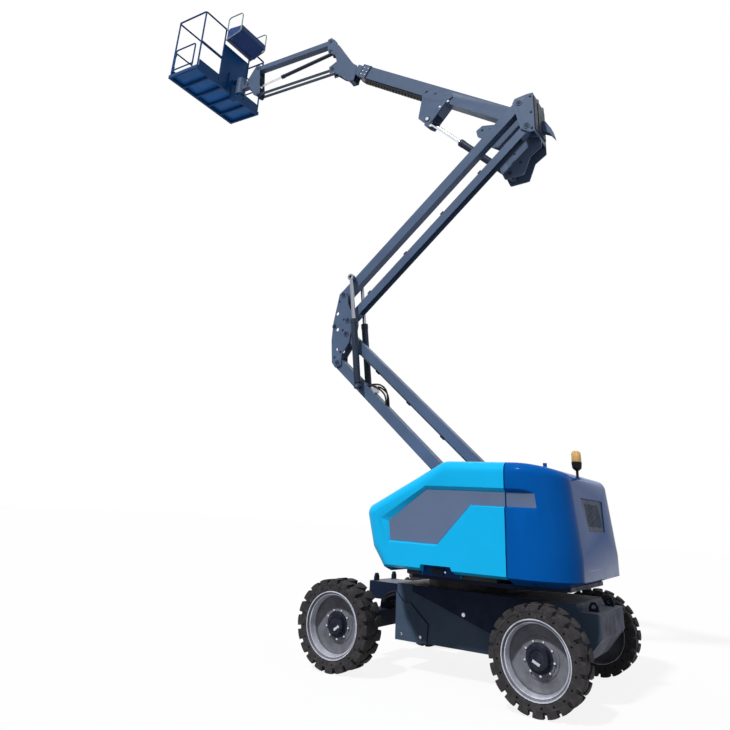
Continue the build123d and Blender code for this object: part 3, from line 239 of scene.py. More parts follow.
def worn_rubber(name, rgb):
    """Rubber with pale scuffs and a fine grain."""
    n = Nodes(name)
    scuff = n.spread(n.noise(22.0, 10.0, 0.7), 0.46, 0.74, 0.0, 0.7)
    patch = n.spread(n.noise(5.0, 4.0), 0.35, 0.65, 0.3, 1.0)
    base = n.mix(n.times(scuff, patch), rgb, (0.13, 0.115, 0.11))
    n.link(base, n.shader.inputs["Base Color"])
    n.link(n.spread(n.noise(30.0, 6.0), 0.3, 0.7, 0.65, 0.92), n.shader.inputs["Roughness"])
    n.shader.inputs["Specular IOR Level"].default_value = 0.08
    n.bump(n.noise(70.0, 8.0, 0.7), 0.5, 0.0015)
    return n.material


def worn_rim(name, rgb, metallic=0.3):
    """Silver paint, rubbed bright in patches and grimed in others."""
    n = Nodes(name)
    grime = n.spread(n.noise(7.0, 8.0, 0.6), 0.42, 0.66)
    rubbed = n.mix(grime, shade(rgb, 1.2), shade(rgb, 0.75))
    n.link(rubbed, n.shader.inputs["Base Color"])
    n.link(n.spread(n.noise(18.0, 5.0), 0.3, 0.7, 0.3, 0.55), n.shader.inputs["Roughness"])
    n.shader.inputs["Metallic"].default_value = metallic
    n.shader.inputs["Specular IOR Level"].default_value = 0.12
    n.bump(n.noise(90.0, 5.0), 0.2, 0.0006)
    return n.material


def moulded(name, rgb, roughness=0.5, grain=160.0, strength=0.25):
    """Moulded plastic with a fine grain."""
    n = Nodes(name)
    drift = n.spread(n.noise(5.0), 0.3, 0.7)
    n.link(n.mix(drift, shade(rgb, 0.85), shade(rgb, 1.15)), n.shader.inputs["Base Color"])
    n.link(n.spread(n.noise(12.0), 0.3, 0.7, roughness * 0.85, min(1.0, roughness * 1.2)),
           n.shader.inputs["Roughness"])
    n.shader.inputs["Specular IOR Level"].default_value = 0.12
    n.bump(n.noise(grain, 3.0), strength, 0.0004)
    return n.material


def clear_lens(name, rgb):
    """Tinted lens with moulded ribs."""
    n = Nodes(name)
    drift = n.spread(n.noise(30.0), 0.3, 0.7)
    n.link(n.mix(drift, shade(rgb, 0.8), shade(rgb, 1.2)), n.shader.inputs["Base Color"])
    n.shader.inputs["Roughness"].default_value = 0.15
    n.shader.inputs["Transmission Weight"].default_value = 0.15
    n.shader.inputs["IOR"].default_value = 1.49
    wave = n.add("ShaderNodeTexWave", wave_type="BANDS", bands_direction="X")
    wave.inputs["Scale"].default_value = 60.0
    n.link(n.coordinates, wave.inputs["Vector"])
    n.bump(wave.outputs["Fac"], 0.5, 0.002)
    return n.material


def make_finishes():
    """All finishes by name, from the scene's colours."""
    paint = bpy.context.scene.boom_lift_paint
    rgb = {key: tuple(getattr(paint, key)) for key in BoomLiftPaint.__annotations__}
    FINISHES.update({
        "cover": painted("Cover gloss blue", rgb["cover"], 0.2, 0.1, 0.04, 0.06, 0.05),
        "tail": painted("Tail gloss blue", rgb["tail"], 0.16, 0.025, 0.06, 0.03, 0.05),
        "panel": painted("Panel matt grey", rgb["panel"], 0.6, 0.1, 0.08, 0.15, 0.3),
        # Latch pocket: the tail blue darkened to 0.3, painted shade inside the covers' latch pockets
        "latch": moulded("Latch recess", shade(rgb["tail"], 0.3), 0.45),
        "slate": painted("Arm satin slate", rgb["slate"], 0.36, 0.18, 0.12, 0.3, 0.12),
        "slate_dark": painted("Link satin navy", shade(rgb["slate"], 0.32), 0.42, 0.15, 0.15, 0.3,
                              0.12),
        "navy": painted("Chassis satin navy", rgb["navy"], 0.5, 0.1, 0.25, 0.12, 0.2, dust_height=1.0),
        "side": painted("Side plate slate", rgb["side"], 0.5, 0.1, 0.15, 0.15, 0.2, dust_height=1.0),
        "deck": painted("Chassis top grey", (0.16, 0.17, 0.2), 0.6, 0.2, 0.2, 0.5, 0.25),
        "cage": painted("Platform satin blue", rgb["cage"], 0.35, 0.1, 0.12, 0.1, 0.12),
        # Platform blue brightened 2.2 times for the floor's downward faces: painted light on the
        # underside
        "cage_light": painted("Platform light blue", shade(rgb["cage"], 2.2), 0.4, 0.2, 0.2, 0.2, 0.12),
        "rim": worn_rim("Rim worn silver", rgb["rim"]),
        # Rim dish: the rim silver darkened to 0.3, painted shade for the shadow inside the deep dish,
        # which is the same silver
        "dish": worn_rim("Rim dish grey", shade(rgb["rim"], 0.3), 0.0),
        "hub": painted("Hub dark", (0.012, 0.016, 0.03), 0.35, 0.1, 0.2, 0.2, 0.2),
        "rubber": worn_rubber("Tyre rubber", rgb["rubber"]),
        # Sidewall holes: near-black discs, painted shade for the dark inside of each hole
        "hole": moulded("Sidewall hole", (0.003, 0.003, 0.005), 0.9),
        "rod_dark": bare_metal("Riser rod chrome", (0.3, 0.32, 0.37), 0.14, (1.0, 1.0, 1.0), 0.05),
        "chrome": bare_metal("Rod chrome", (0.72, 0.74, 0.78), 0.1, (1.0, 1.0, 1.0), 0.05),
        "steel": bare_metal("Bare steel", (0.42, 0.43, 0.45), 0.35),
        "zinc": bare_metal("Zinc bolts", (0.6, 0.62, 0.66), 0.3),
        "guard": painted("Guard pale paint", (0.36, 0.5, 0.52), 0.4, 0.2, 0.1, 0.1, 0.1),
        "console": moulded("Console cover", rgb["console"], 0.3, 120.0, 0.15),
        "black": moulded("Black plastic", (0.007, 0.008, 0.011), 0.5),
        "hose": moulded("Hose rubber", (0.012, 0.013, 0.016), 0.55, 300.0, 0.3),
        "line": moulded("Pale pipe", (0.3, 0.36, 0.45), 0.35, 200.0, 0.1),
        "amber": clear_lens("Amber lens", rgb["amber"]),
        "block": painted("Engine dark", (0.03, 0.03, 0.034), 0.6),
        "blank": painted("Blank plate", (0.6, 0.66, 0.72), 0.35, 0.3, 0.05, 0.15, 0.1),
        "red": moulded("Red button", (0.5, 0.02, 0.015), 0.3),
    })


# ---------------------------------------------------------------- mesh helpers
def wear(mesh, *finishes):
    """Finishes added to a mesh, in the order of its material indices."""
    for finish in finishes:
        mesh.materials.append(FINISHES[finish])


def mesh_object(name, mesh, *finishes):
    """Object with its mesh's place in the mesh, linked to the scene."""
    item = bpy.data.objects.new(name, mesh)
    bpy.context.scene.collection.objects.link(item)
    wear(mesh, *finishes)
    return item


def smooth(mesh, angle=35.0):
    """Smooth shading with sharp edges past the angle."""
    for face in mesh.polygons:
        face.use_smooth = True
    mesh.set_sharp_from_angle(angle=radians(angle))


def made(bm, name):
    """Mesh of a bmesh, which is freed."""
    mesh = bpy.data.meshes.new(name)
    bm.to_mesh(mesh)
    bm.free()
    return mesh


def evaluated(item):
    """Plain mesh of an object with its modifiers applied; the object is removed."""
    bpy.context.view_layer.update()
    graph = bpy.context.evaluated_depsgraph_get()
    mesh = bpy.data.meshes.new_from_object(item.evaluated_get(graph))
    bpy.data.objects.remove(item)
    return mesh


def lathe(bm, profile, steps, centre=(0, 0, 0), turn=None, material=0):
    """Closed surface turned about Y from (radius, along Y) points, placed at centre."""
    rings = []
    matrix = Matrix.Translation(centre) @ (turn or Matrix.Identity(4))
    for i in range(steps):
        angle = tau * i / steps
        rings.append([bm.verts.new(matrix @ Vector((r * cos(angle), a, r * sin(angle))))
                      if r > 1e-9 or i == 0 else rings[0][k] for k, (r, a) in enumerate(profile)])
    for i in range(steps):
        one, two = rings[i], rings[(i + 1) % steps]
        for k in range(len(profile) - 1):
            corners = [one[k], one[k + 1], two[k + 1], two[k]]
            unique = list(dict.fromkeys(corners))
            if len(unique) > 2:
                face = bm.faces.new(unique)
                face.material_index = material
    return bm


def outward(bm):
    """Doubles merged and faces turned outwards."""
    bmesh.ops.remove_doubles(bm, verts=bm.verts, dist=1e-6)
    bmesh.ops.recalc_face_normals(bm, faces=bm.faces)


def bevelled(item, width, segments=2, angle=35.0):
    """Plain mesh of an object with its edges rounded and its flat faces shaded flat."""
    smooth(item.data, angle)
    bevel = item.modifiers.new("Edges", "BEVEL")
    bevel.width, bevel.segments = width, segments
    bevel.limit_method, bevel.angle_limit = "ANGLE", radians(40)
    bevel.harden_normals = True
    return evaluated(item)


def box_into(bm, low, high, material=0, matrix=None):
    """Box between two corners added to a bmesh."""
    size = Vector(high) - Vector(low)
    place = Matrix.Translation((Vector(high) + Vector(low)) / 2) @ Matrix.Diagonal((*size, 1.0))
    if matrix:
        place = matrix @ place
    new = bmesh.ops.create_cube(bm, size=1.0, matrix=place)
    for vert in new["verts"]:
        for face in vert.link_faces:
            face.material_index = material
    return new["verts"]


def join(bm, mesh, material):
    """Mesh added to a bmesh, all its faces with one material index."""
    before = len(bm.faces)
    bm.from_mesh(mesh)
    bm.faces.ensure_lookup_table()
    for face in bm.faces[before:]:
        face.material_index = material


def rod(bm, start, end, radius, sides=20, material=0, rim=None):
    """Round bar between two points, its ends slightly rounded."""
    run = end - start
    rim = min(radius * 0.25, 0.003) if rim is None else rim
    turn = run.to_track_quat("Y", "Z").to_matrix().to_4x4()
    lathe(bm, [(0.0, 0.0), (radius - rim, 0.0), (radius, rim), (radius, run.length - rim),
               (radius - rim, run.length), (0.0, run.length)], sides, start, turn, material)


def plate(bm, outline, y_low, y_high, material=0):
    """Plate with an XZ outline between two Y planes, in the machine's millimetres."""
    near = [bm.verts.new(at(x, y_high, z)) for x, z in outline]
    far = [bm.verts.new(at(x, y_low, z)) for x, z in outline]
    faces = [bm.faces.new(near), bm.faces.new(far[::-1])]
    for i in range(len(outline)):
        k = (i + 1) % len(outline)
        faces.append(bm.faces.new((near[i], far[i], far[k], near[k])))
    for face in faces:
        face.material_index = material


def block(bm, low, high, material=0):
    """Box between two corners in the machine's millimetres."""
    box_into(bm, at(*low), at(*high), material)


def hose(bm, points, radius, material=0, sides=8, steps=6):
    """Hose along a smooth curve through points in the frame."""
    ends = [2 * points[0] - points[1], *points, 2 * points[-1] - points[-2]]
    line = []
    for a, b, c, d in zip(ends, ends[1:], ends[2:], ends[3:]):
        for i in range(steps):
            t = i / steps
            line.append(0.5 * (2 * b + (c - a) * t + (2 * a - 5 * b + 4 * c - d) * t ** 2
                               + (3 * b - a - 3 * c + d) * t ** 3))
    line.append(points[-1])
    side = (line[1] - line[0]).orthogonal().normalized()
    rings = []
    for i, point in enumerate(line):
        run = (line[min(i + 1, len(line) - 1)] - line[max(i - 1, 0)]).normalized()
        side = (side - run * side.dot(run)).normalized()
        over = run.cross(side)
        rings.append([bm.verts.new(point + radius * (side * cos(tau * k / sides)
                                                     + over * sin(tau * k / sides)))
                      for k in range(sides)])
    faces = [bm.faces.new(rings[0][::-1]), bm.faces.new(rings[-1])]
    for one, two in zip(rings, rings[1:]):
        for k in range(sides):
            faces.append(bm.faces.new((one[k], one[(k + 1) % sides], two[(k + 1) % sides], two[k])))
    for face in faces:
        face.material_index = material


def heads(bm, places, y, out, radius, height=0.009, material=0):
    """Hexagon heads with washers on a plate's face at y; places are XZ points in millimetres."""
    for x, z in places:
        foot = at(x, y, z)
        lift = Vector((0, out, 0))
        rod(bm, foot - lift * 0.003, foot + lift * 0.002, radius * 1.35, 16, material, 0.0008)
        rod(bm, foot, foot + lift * height, radius, 6, material, 0.0015)


def caps(bm, places, y, out, radius, material=0, ring=1):
    """Pin ends with a raised ring and a keeper bolt on a plate's face at y."""
    for x, z in places:
        lift = Vector((0, out, 0))
        foot = at(x, y, z)
        rod(bm, foot - lift * 0.004, foot + lift * 0.007, radius * 1.5, 32, ring, 0.002)
        rod(bm, foot, foot + lift * 0.012, radius, 28, material, 0.003)
        rod(bm, foot + lift * 0.01, foot + lift * 0.016, radius * 0.32, 6, material, 0.001)


def dressed(bm, name, body, finishes, edge=0.0):
    """Piece made from a bmesh, its edges rounded if asked, riding on a body."""
    bmesh.ops.recalc_face_normals(bm, faces=bm.faces)
    item = mesh_object(name, made(bm, name), *finishes)
    if edge:
        item = mesh_object(name, bevelled(item, edge))
    else:
        smooth(item.data)
    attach(item, body)
    return item


# ---------------------------------------------------------------- repeats by geometry nodes
def ring_tree():
    """Node group: copies of an item set round the Y axis."""
    tree = bpy.data.node_groups.new("Ring of items", "GeometryNodeTree")
    for name, kind in (("Item", "Object"), ("Count", "Int"), ("Start angle", "Float"),
                       ("Finish", "Material")):
        tree.interface.new_socket(name, in_out="INPUT", socket_type="NodeSocket" + kind)
    tree.interface.new_socket("Geometry", in_out="OUTPUT", socket_type="NodeSocketGeometry")
    nodes = {key: tree.nodes.new(kind) for key, kind in (
        ("given", "NodeGroupInput"), ("out", "NodeGroupOutput"), ("info", "GeometryNodeObjectInfo"),
        ("line", "GeometryNodeMeshLine"), ("copy", "GeometryNodeInstanceOnPoints"),
        ("index", "GeometryNodeInputIndex"), ("step", "ShaderNodeMath"), ("turn", "ShaderNodeMath"),
        ("add", "ShaderNodeMath"), ("spin", "ShaderNodeCombineXYZ"),
        ("realize", "GeometryNodeRealizeInstances"), ("finish", "GeometryNodeSetMaterial"))}
    nodes["info"].transform_space = "ORIGINAL"
    nodes["line"].inputs["Offset"].default_value = (0.0, 0.0, 0.0)
    for key, operation in (("step", "DIVIDE"), ("turn", "MULTIPLY"), ("add", "ADD")):
        nodes[key].operation = operation
    nodes["step"].inputs[0].default_value = tau
    # (node and its output, node and its input)
    for source, output, target, socket in (
            ("given", "Item", "info", "Object"), ("given", "Count", "line", "Count"),
            ("given", "Count", "step", 1), ("index", 0, "turn", 0), ("step", 0, "turn", 1),
            ("turn", 0, "add", 0), ("given", "Start angle", "add", 1), ("add", 0, "spin", "Y"),
            ("line", "Mesh", "copy", "Points"), ("info", "Geometry", "copy", "Instance"),
            ("spin", 0, "copy", "Rotation"), ("copy", "Instances", "realize", "Geometry"),
            ("realize", "Geometry", "finish", "Geometry"),
            ("given", "Finish", "finish", "Material"), ("finish", "Geometry", "out", "Geometry")):
        tree.links.new(nodes[source].outputs[output], nodes[target].inputs[socket])
    return tree


def ringed(item_mesh, finish, count, start):
    """Plain mesh of an item repeated round the Y axis by the node group."""
    tree = bpy.data.node_groups.get("Ring of items") or ring_tree()
    item = bpy.data.objects.new("item", item_mesh)
    host = bpy.data.objects.new("host", bpy.data.meshes.new("host"))
    for thing in (item, host):
        bpy.context.scene.collection.objects.link(thing)
    modifier = host.modifiers.new("Repeat", "NODES")
    modifier.node_group = tree
    values = {"Item": item, "Count": count, "Start angle": start, "Finish": FINISHES[finish]}
    for socket in tree.interface.items_tree:
        if socket.in_out == "INPUT":
            modifier[socket.identifier] = values[socket.name]
    mesh = evaluated(host)
    bpy.data.objects.remove(item)
    return mesh


# ---------------------------------------------------------------- dressed copies of frame nodes
def machine(point):
    """A frame point in the machine's millimetres."""
    return tuple((value + shift) * 1000 for value, shift in zip(point, ORIGIN))


def merged_copy(node):
    """Bmesh of a frame node with doubles merged and flat areas joined."""
    bm = bmesh.new()
    bm.from_mesh(frame["nodes"][node].data)
    bmesh.ops.remove_doubles(bm, verts=bm.verts, dist=2e-5)
    bmesh.ops.dissolve_limit(bm, angle_limit=radians(1.0), verts=bm.verts, edges=bm.edges)
    for face in bm.faces:
        face.material_index = 0
    return bm


def softened(node, width, finishes, sort=None, segments=2, angle=35.0):
    """Copy of a frame node with rounded edges, standing for it."""
    bm = merged_copy(node)
    if sort:
        for face in bm.faces:
            face.material_index = sort(face.calc_center_median(), face.normal)
    mesh = bevelled(mesh_object(node + "_soft", made(bm, node), *finishes), width, segments,
                    angle)
    mesh.name = node
    piece = place(mesh, "dressed_" + node, body_of(node))
    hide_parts(node)
    return piece


def body_of(node):
    """Name of the body that carries a frame node."""
    for body, nodes in frame["record"]["behaviour"]["bodies"].items():
        if node in nodes:
            return body
    raise ValueError("no body carries " + node)


def refinish(finish, *nodes):
    """Frame nodes kept as they are, with one of the finishes."""
    for node in nodes:
        for slot in frame["nodes"][node].material_slots:
            slot.material = FINISHES[finish]


def place(mesh, name, body):
    """Finished piece riding on a body."""
    item = mesh_object(name, mesh)
    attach(item, body)
    return item


# ---------------------------------------------------------------- wheels
BEAD = 0.297                     # radius where the tyre meets the rim's flange
LINE = 0.359                     # radius of the raised line round the sidewall
RIM_SEAT = 0.296                 # radius where the rim carries the tyre
SPINDLE = 0.051                  # radius of the rim's bore
AROUND = 96                      # steps round a tyre or rim


def on_wheels(kind, shape):
    """One piece of a kind for each wheel, from its radius, half the tyre's width, and its end."""
    for end, side in WHEELS:
        node = f"{kind}_{end}_{side}"
        own_low, own_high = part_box(node)
        low, high = (Vector(v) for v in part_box(f"tyre_{end}_{side}"))
        mesh = shape((own_high[2] - own_low[2]) / 2, (high.y - low.y) / 2, end == "front")
        turn = Matrix.Rotation(0.0 if side == "left" else pi, 4, "Z")
        mesh.transform(Matrix.Translation((low + high) / 2) @ turn)
        piece = place(mesh, "dressed_" + node, f"wheel_{end}_{side}")
        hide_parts(node)


class BOOMLIFT_OT_tyres(bpy.types.Operator):
    """Chunky tyres with staggered hooked lugs and a ring of sidewall holes"""
    bl_idname = "boomlift.tyres"
    bl_label = "Tyres"

    def execute(self, context):
        sizes = context.scene.boom_lift_wheels
        on_wheels("tyre", lambda outer, half, front: self.tyre(outer, half, sizes))
        return {"FINISHED"}

    def tyre(self, outer, half, sizes):
        """Tyre about Y with its outer side towards +Y."""
        base = outer - sizes.lug_height
        side = [(BEAD, half - 0.014), (BEAD + 0.006, half - 0.007), (BEAD + 0.018, half - 0.004),
                (LINE - 0.004, half - 0.004), (LINE - 0.002, half - 0.001), (LINE + 0.002, half - 0.001),
                (LINE + 0.005, half - 0.006), (base - 0.017, half - 0.012), (base - 0.013, half - 0.03),
                (base, half - 0.08)]
        profile = ([(r, -y) for r, y in side] + [(base + 0.001, 0.0)] + side[::-1]
                   + [(BEAD, -half + 0.014)])
        bm = bmesh.new()
        lathe(bm, profile, AROUND)
        step = tau / sizes.lugs
        for out, phase in ((1, 0.0), (-1, step / 2)):
            lug = self.lug(base, outer, half, sizes.lug_width, out)
            join(bm, ringed(lug, "rubber", sizes.lugs, phase), 0)
        # Near-black discs flush with the sidewall: painted shade standing for the holes
        hole = bmesh.new()
        for out in (1, -1):
            foot = Vector((0.335, out * (half - 0.008), 0.0))
            rod(hole, foot, foot + Vector((0, out * 0.0046, 0)), sizes.hole_radius, 12, 0, 0.0005)
        join(bm, ringed(made(hole, "hole"), "hole", sizes.holes, 0.1), 1)
        bmesh.ops.recalc_face_normals(bm, faces=bm.faces)
        mesh = made(bm, "tyre")
        wear(mesh, "rubber", "hole")
        smooth(mesh, 40.0)
        return mesh

    def lug(self, base, outer, half, width, out):
        """One hooked lug at angle nought, from a shoulder to just past the middle of the tread."""
        w = width / 2
        # (share of the half width, start and end round the tyre)
        rows = [(-0.04, 0.1, 0.62), (0.12, -0.12, 0.8), (0.34, -0.42, 0.92), (0.5, -0.86, 0.98),
                (0.66, -1.0, 1.0), (0.97, -1.0, 1.0), (1.0, -0.97, 0.97)]
        bm = bmesh.new()
        sheets = []
        for share, start, end in rows:
            y = share * (half - 0.0008) * out
            drop = 0.006 if share in (-0.04, 1.0) else 0.0015
            line = []
            for k in range(4):
                angle = (start + (end - start) * k / 3) * w / outer
                rim = outer - drop - (0.002 if k in (0, 3) else 0.0)
                line.append((angle, y, rim))
            low = LINE + 0.003 if share > 0.95 else base - 0.026
            sheets.append(([bm.verts.new((r * cos(a), y, r * sin(a))) for a, y, r in line],
                           [bm.verts.new((low * cos(a), y, low * sin(a))) for a, y, r in line]))
        for (tops, feet), (next_tops, next_feet) in zip(sheets, sheets[1:]):
            for k in range(3):
                bm.faces.new((tops[k], tops[k + 1], next_tops[k + 1], next_tops[k]))
                bm.faces.new((feet[k], feet[k + 1], next_feet[k + 1], next_feet[k]))
            for k in (0, 3):
                bm.faces.new((tops[k], next_tops[k], next_feet[k], feet[k]))
        for tops, feet in (sheets[0], sheets[-1]):
            for k in range(3):
                bm.faces.new((tops[k], tops[k + 1], feet[k + 1], feet[k]))
        bmesh.ops.recalc_face_normals(bm, faces=bm.faces)
        return made(bm, "lug")


class BOOMLIFT_OT_rims(bpy.types.Operator):
    """Deep-dished rims with a bright double flange, hub, cap and bolts"""
    bl_idname = "boomlift.rims"
    bl_label = "Rims"

    def execute(self, context):
        sizes = context.scene.boom_lift_wheels
        on_wheels("rim", lambda flange, half, front: self.rim(flange, half, front, sizes))
        return {"FINISHED"}

    def rim(self, flange, half, front, sizes):
        """Rim about Y, outer face towards +Y."""
        bm = bmesh.new()
        edge = [(RIM_SEAT - 0.002, -half + 0.012), (RIM_SEAT, -half + 0.012), (RIM_SEAT, half - 0.014),
                (flange - 0.003, half - 0.008), (flange, half - 0.003), (flange - 0.0015, half),
                (flange - 0.01, half), (flange - 0.012, half - 0.003)]
        lathe(bm, edge, AROUND)
        # Gutter, dish and back take the dish finish: painted shade of the deep dish
        gutter = [(flange - 0.012, half - 0.003), (flange - 0.016, half - 0.02),
                  (flange - 0.024, half - 0.027)]
        lathe(bm, gutter, AROUND, material=1)
        ring = [(flange - 0.024, half - 0.027), (flange - 0.026, half - 0.024),
                (flange - 0.033, half - 0.026), (flange - 0.036, half - 0.034), (flange - 0.046, 0.055)]
        lathe(bm, ring, AROUND)
        dish = [(flange - 0.046, 0.055), (flange - 0.052, 0.024), (flange - 0.075, 0.012),
                (0.205, 0.008), (0.168, 0.012), (0.164, 0.018), (0.14, 0.02), (0.137, 0.026),
                (0.12, 0.028), (0.118, 0.036)]
        lathe(bm, dish, AROUND, material=1)
        back = [(SPINDLE, -0.07), (0.1, -0.07), (0.11, -0.012), (0.24, -0.012),
                (RIM_SEAT - 0.012, -0.03), (RIM_SEAT - 0.012, -half + 0.016),
                (RIM_SEAT - 0.002, -half + 0.012)]
        lathe(bm, back, AROUND, material=1)
        top = 0.085 if front else 0.088
        hub = [(0.118, 0.036), (0.1, 0.038), (0.094, 0.044), (0.092, top - 0.012), (0.085, top),
               (0.068, top), (0.064, top - 0.006), (0.034, top - 0.006), (0.03, top - 0.001), (0.0, top)]
        lathe(bm, hub, 48, material=2)
        lathe(bm, [(0.0, 0.06), (SPINDLE, 0.06), (SPINDLE, -0.07)], 48, material=2)
        outward(bm)
        bolt = bmesh.new()
        rod(bolt, Vector((0.13, 0.024, 0)), Vector((0.13, 0.038, 0)), 0.011, 6, 0, 0.002)
        join(bm, ringed(made(bolt, "bolt"), "zinc", sizes.bolts, 0.2), 3)
        small = bmesh.new()
        rod(small, Vector((0.076, top - 0.002, 0)), Vector((0.076, top + 0.003, 0)), 0.0055, 6, 0, 0.001)
        join(bm, ringed(made(small, "bolt"), "hub", 8, 0.1), 2)
        # the bar that releases the drive
        lean = Matrix.Rotation(radians(35 if front else -25), 4, "Y")
        box_into(bm, (-0.034, top - 0.006, -0.045), (0.034, top - 0.0008, -0.023), 4, lean)
        mesh = made(bm, "rim")
        wear(mesh, "rim", "dish", "hub", "zinc", "blank")
        smooth(mesh, 30.0)
        return mesh


# ---------------------------------------------------------------- body and chassis
class BOOMLIFT_OT_covers(bpy.types.Operator):
    """Glossy side covers, tail, grille, latches, beacon and blank plate"""
    bl_idname = "boomlift.covers"
    bl_label = "Covers and tail"

    def execute(self, context):
        edge = context.scene.boom_lift_details.cover_edge

        # Faces inside the latch pocket take the darkened latch finish: painted shade of the recess
        def pocket(middle, normal):
            x, y, z = machine(middle)
            return int(-260 < x < 155 and 945 < z < 1045 and 1016 < abs(y) < 1058)

        def strip(middle, normal):
            x, y, z = machine(middle)
            return int(abs(abs(y) - 1086) < 2 and 1580 < z < 1765)

        for side in ("left", "right"):
            softened(f"hood_{side}", edge, ("cover", "latch"), pocket,
                     angle=14.0)
        softened("counterweight", edge, ("tail", "panel"), strip)
        refinish("panel", "hood_panel_left", "hood_panel_right")
        refinish("side", "rear_grille")
        refinish("block", "engine_block", "tank_block")
        self.latches()
        self.beacon()
        self.plate(context)
        return {"FINISHED"}

    def latches(self):
        """Paddle latch with its lock in the pocket of each cover."""
        for side, out in (("left", 1), ("right", -1)):
            bm = bmesh.new()
            block(bm, (-88, min(out * 1050, out * 1058), 966), (18, max(out * 1050, out * 1058), 1006))
            rod(bm, at(-108, out * 1024, 986), at(-108, out * 1040, 986), 0.011, 20, 1)
            dressed(bm, f"latch_{side}", f"cover_{side}", ("black", "zinc"), 0.003)

    def beacon(self):
        """Lens over a dark tapered cup on its stem."""
        bm = bmesh.new()
        turn = Matrix.Rotation(pi / 2, 4, "X")
        foot = at(-1272, 480, 1901)
        cup = [(0.0, 0.0), (0.024, 0.0), (0.024, 0.006), (0.013, 0.01), (0.013, 0.07), (0.03, 0.082),
               (0.044, 0.096), (0.0485, 0.13), (0.05, 0.152), (0.0475, 0.156), (0.0, 0.156)]
        lathe(bm, cup, 40, foot, turn)
        lens = [(0.0, 0.156), (0.0455, 0.156), (0.047, 0.162), (0.0465, 0.228), (0.042, 0.246),
                (0.033, 0.256), (0.018, 0.2615), (0.0, 0.262)]
        lathe(bm, lens, 40, foot, turn, 1)
        item = dressed(bm, "dressed_beacon", "turntable", ("black", "amber"))
        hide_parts("beacon")

    def plate(self, context):
        """Blank plate on the foot of the tail, with its screws."""
        bm = bmesh.new()
        lean = Matrix.Rotation(-0.35, 4, "Y")
        middle = at(-1313, 300, 1040)
        box_into(bm, (-0.004, -0.28, -0.055), (0.002, 0.28, 0.055), 0, Matrix.Translation(middle) @ lean)
        for y in (-0.24, 0.24):
            foot = middle + lean @ Vector((-0.003, y, 0.0))
            rod(bm, foot, foot + lean @ Vector((-0.004, 0, 0)), 0.009, 12, 1)
        dressed(bm, "blank_plate", "turntable", ("blank", "zinc"), 0.0015)


class BOOMLIFT_OT_chassis(bpy.types.Operator):
    """Chassis, axle, knuckles, slewing ring and lashing lugs"""
    bl_idname = "boomlift.chassis"
    bl_label = "Chassis"

    def execute(self, context):
        sizes = context.scene.boom_lift_details

        def region(middle, normal):
            x, y, z = machine(middle)
            if normal.z > 0.9 and z > 720:
                return 2
            return int(abs(normal.y) > 0.9 and z < 640
                       and (abs(abs(y) - 524) < 4 or abs(abs(y) - 500) < 4))

        softened("chassis_frame", sizes.plate_edge, ("navy", "side", "deck"), region)
        for node in ("steer_axle", "knuckle_left", "knuckle_right", "drive_hubs", "tie_down_lugs",
                     "turntable_base"):
            softened(node, sizes.plate_edge, ("navy",))
        refinish("block", "slew_ring")
        self.fittings(sizes)
        return {"FINISHED"}

    def fittings(self, sizes):
        """Bolts of the side plates, of the slewing ring and of the drives, and the axle's hoses."""
        bm = bmesh.new()
        for out in (1, -1):
            heads(bm, [(620, 330), (400, 330)], out * 524, out, sizes.bolt_radius * 0.8)
            heads(bm, [(-90, 590)], out * 560, out, sizes.bolt_radius)
        dressed(bm, "side_bolts", "chassis", ("zinc",))
        bm = bmesh.new()
        stud = bmesh.new()
        rod(stud, Vector((0.468, 0.0, 0.0)), Vector((0.468, 0.0, 0.012)), 0.012, 6)
        item = made(stud, "stud")
        item.transform(Matrix.Rotation(-pi / 2, 4, "X"))
        ring = ringed(item, "steel", 28, 0.0)
        ring.transform(Matrix.Translation(at(0, 0, 884)) @ Matrix.Rotation(pi / 2, 4, "X"))
        join(bm, ring, 0)
        dressed(bm, "ring_bolts", "chassis", ("steel",))
        bm = bmesh.new()
        for out in (1, -1):
            for y in (0.0, 0.03):
                hose(bm, [at(700, out * 262, 700 - 1000 * y), at(820, out * 275, 690 - 1000 * y),
                          at(930, out * 285, 650 - 1000 * y), at(985, out * 262, 585 - 600 * y)],
                     sizes.hose_radius)
        dressed(bm, "axle_hoses", "chassis", ("hose",))


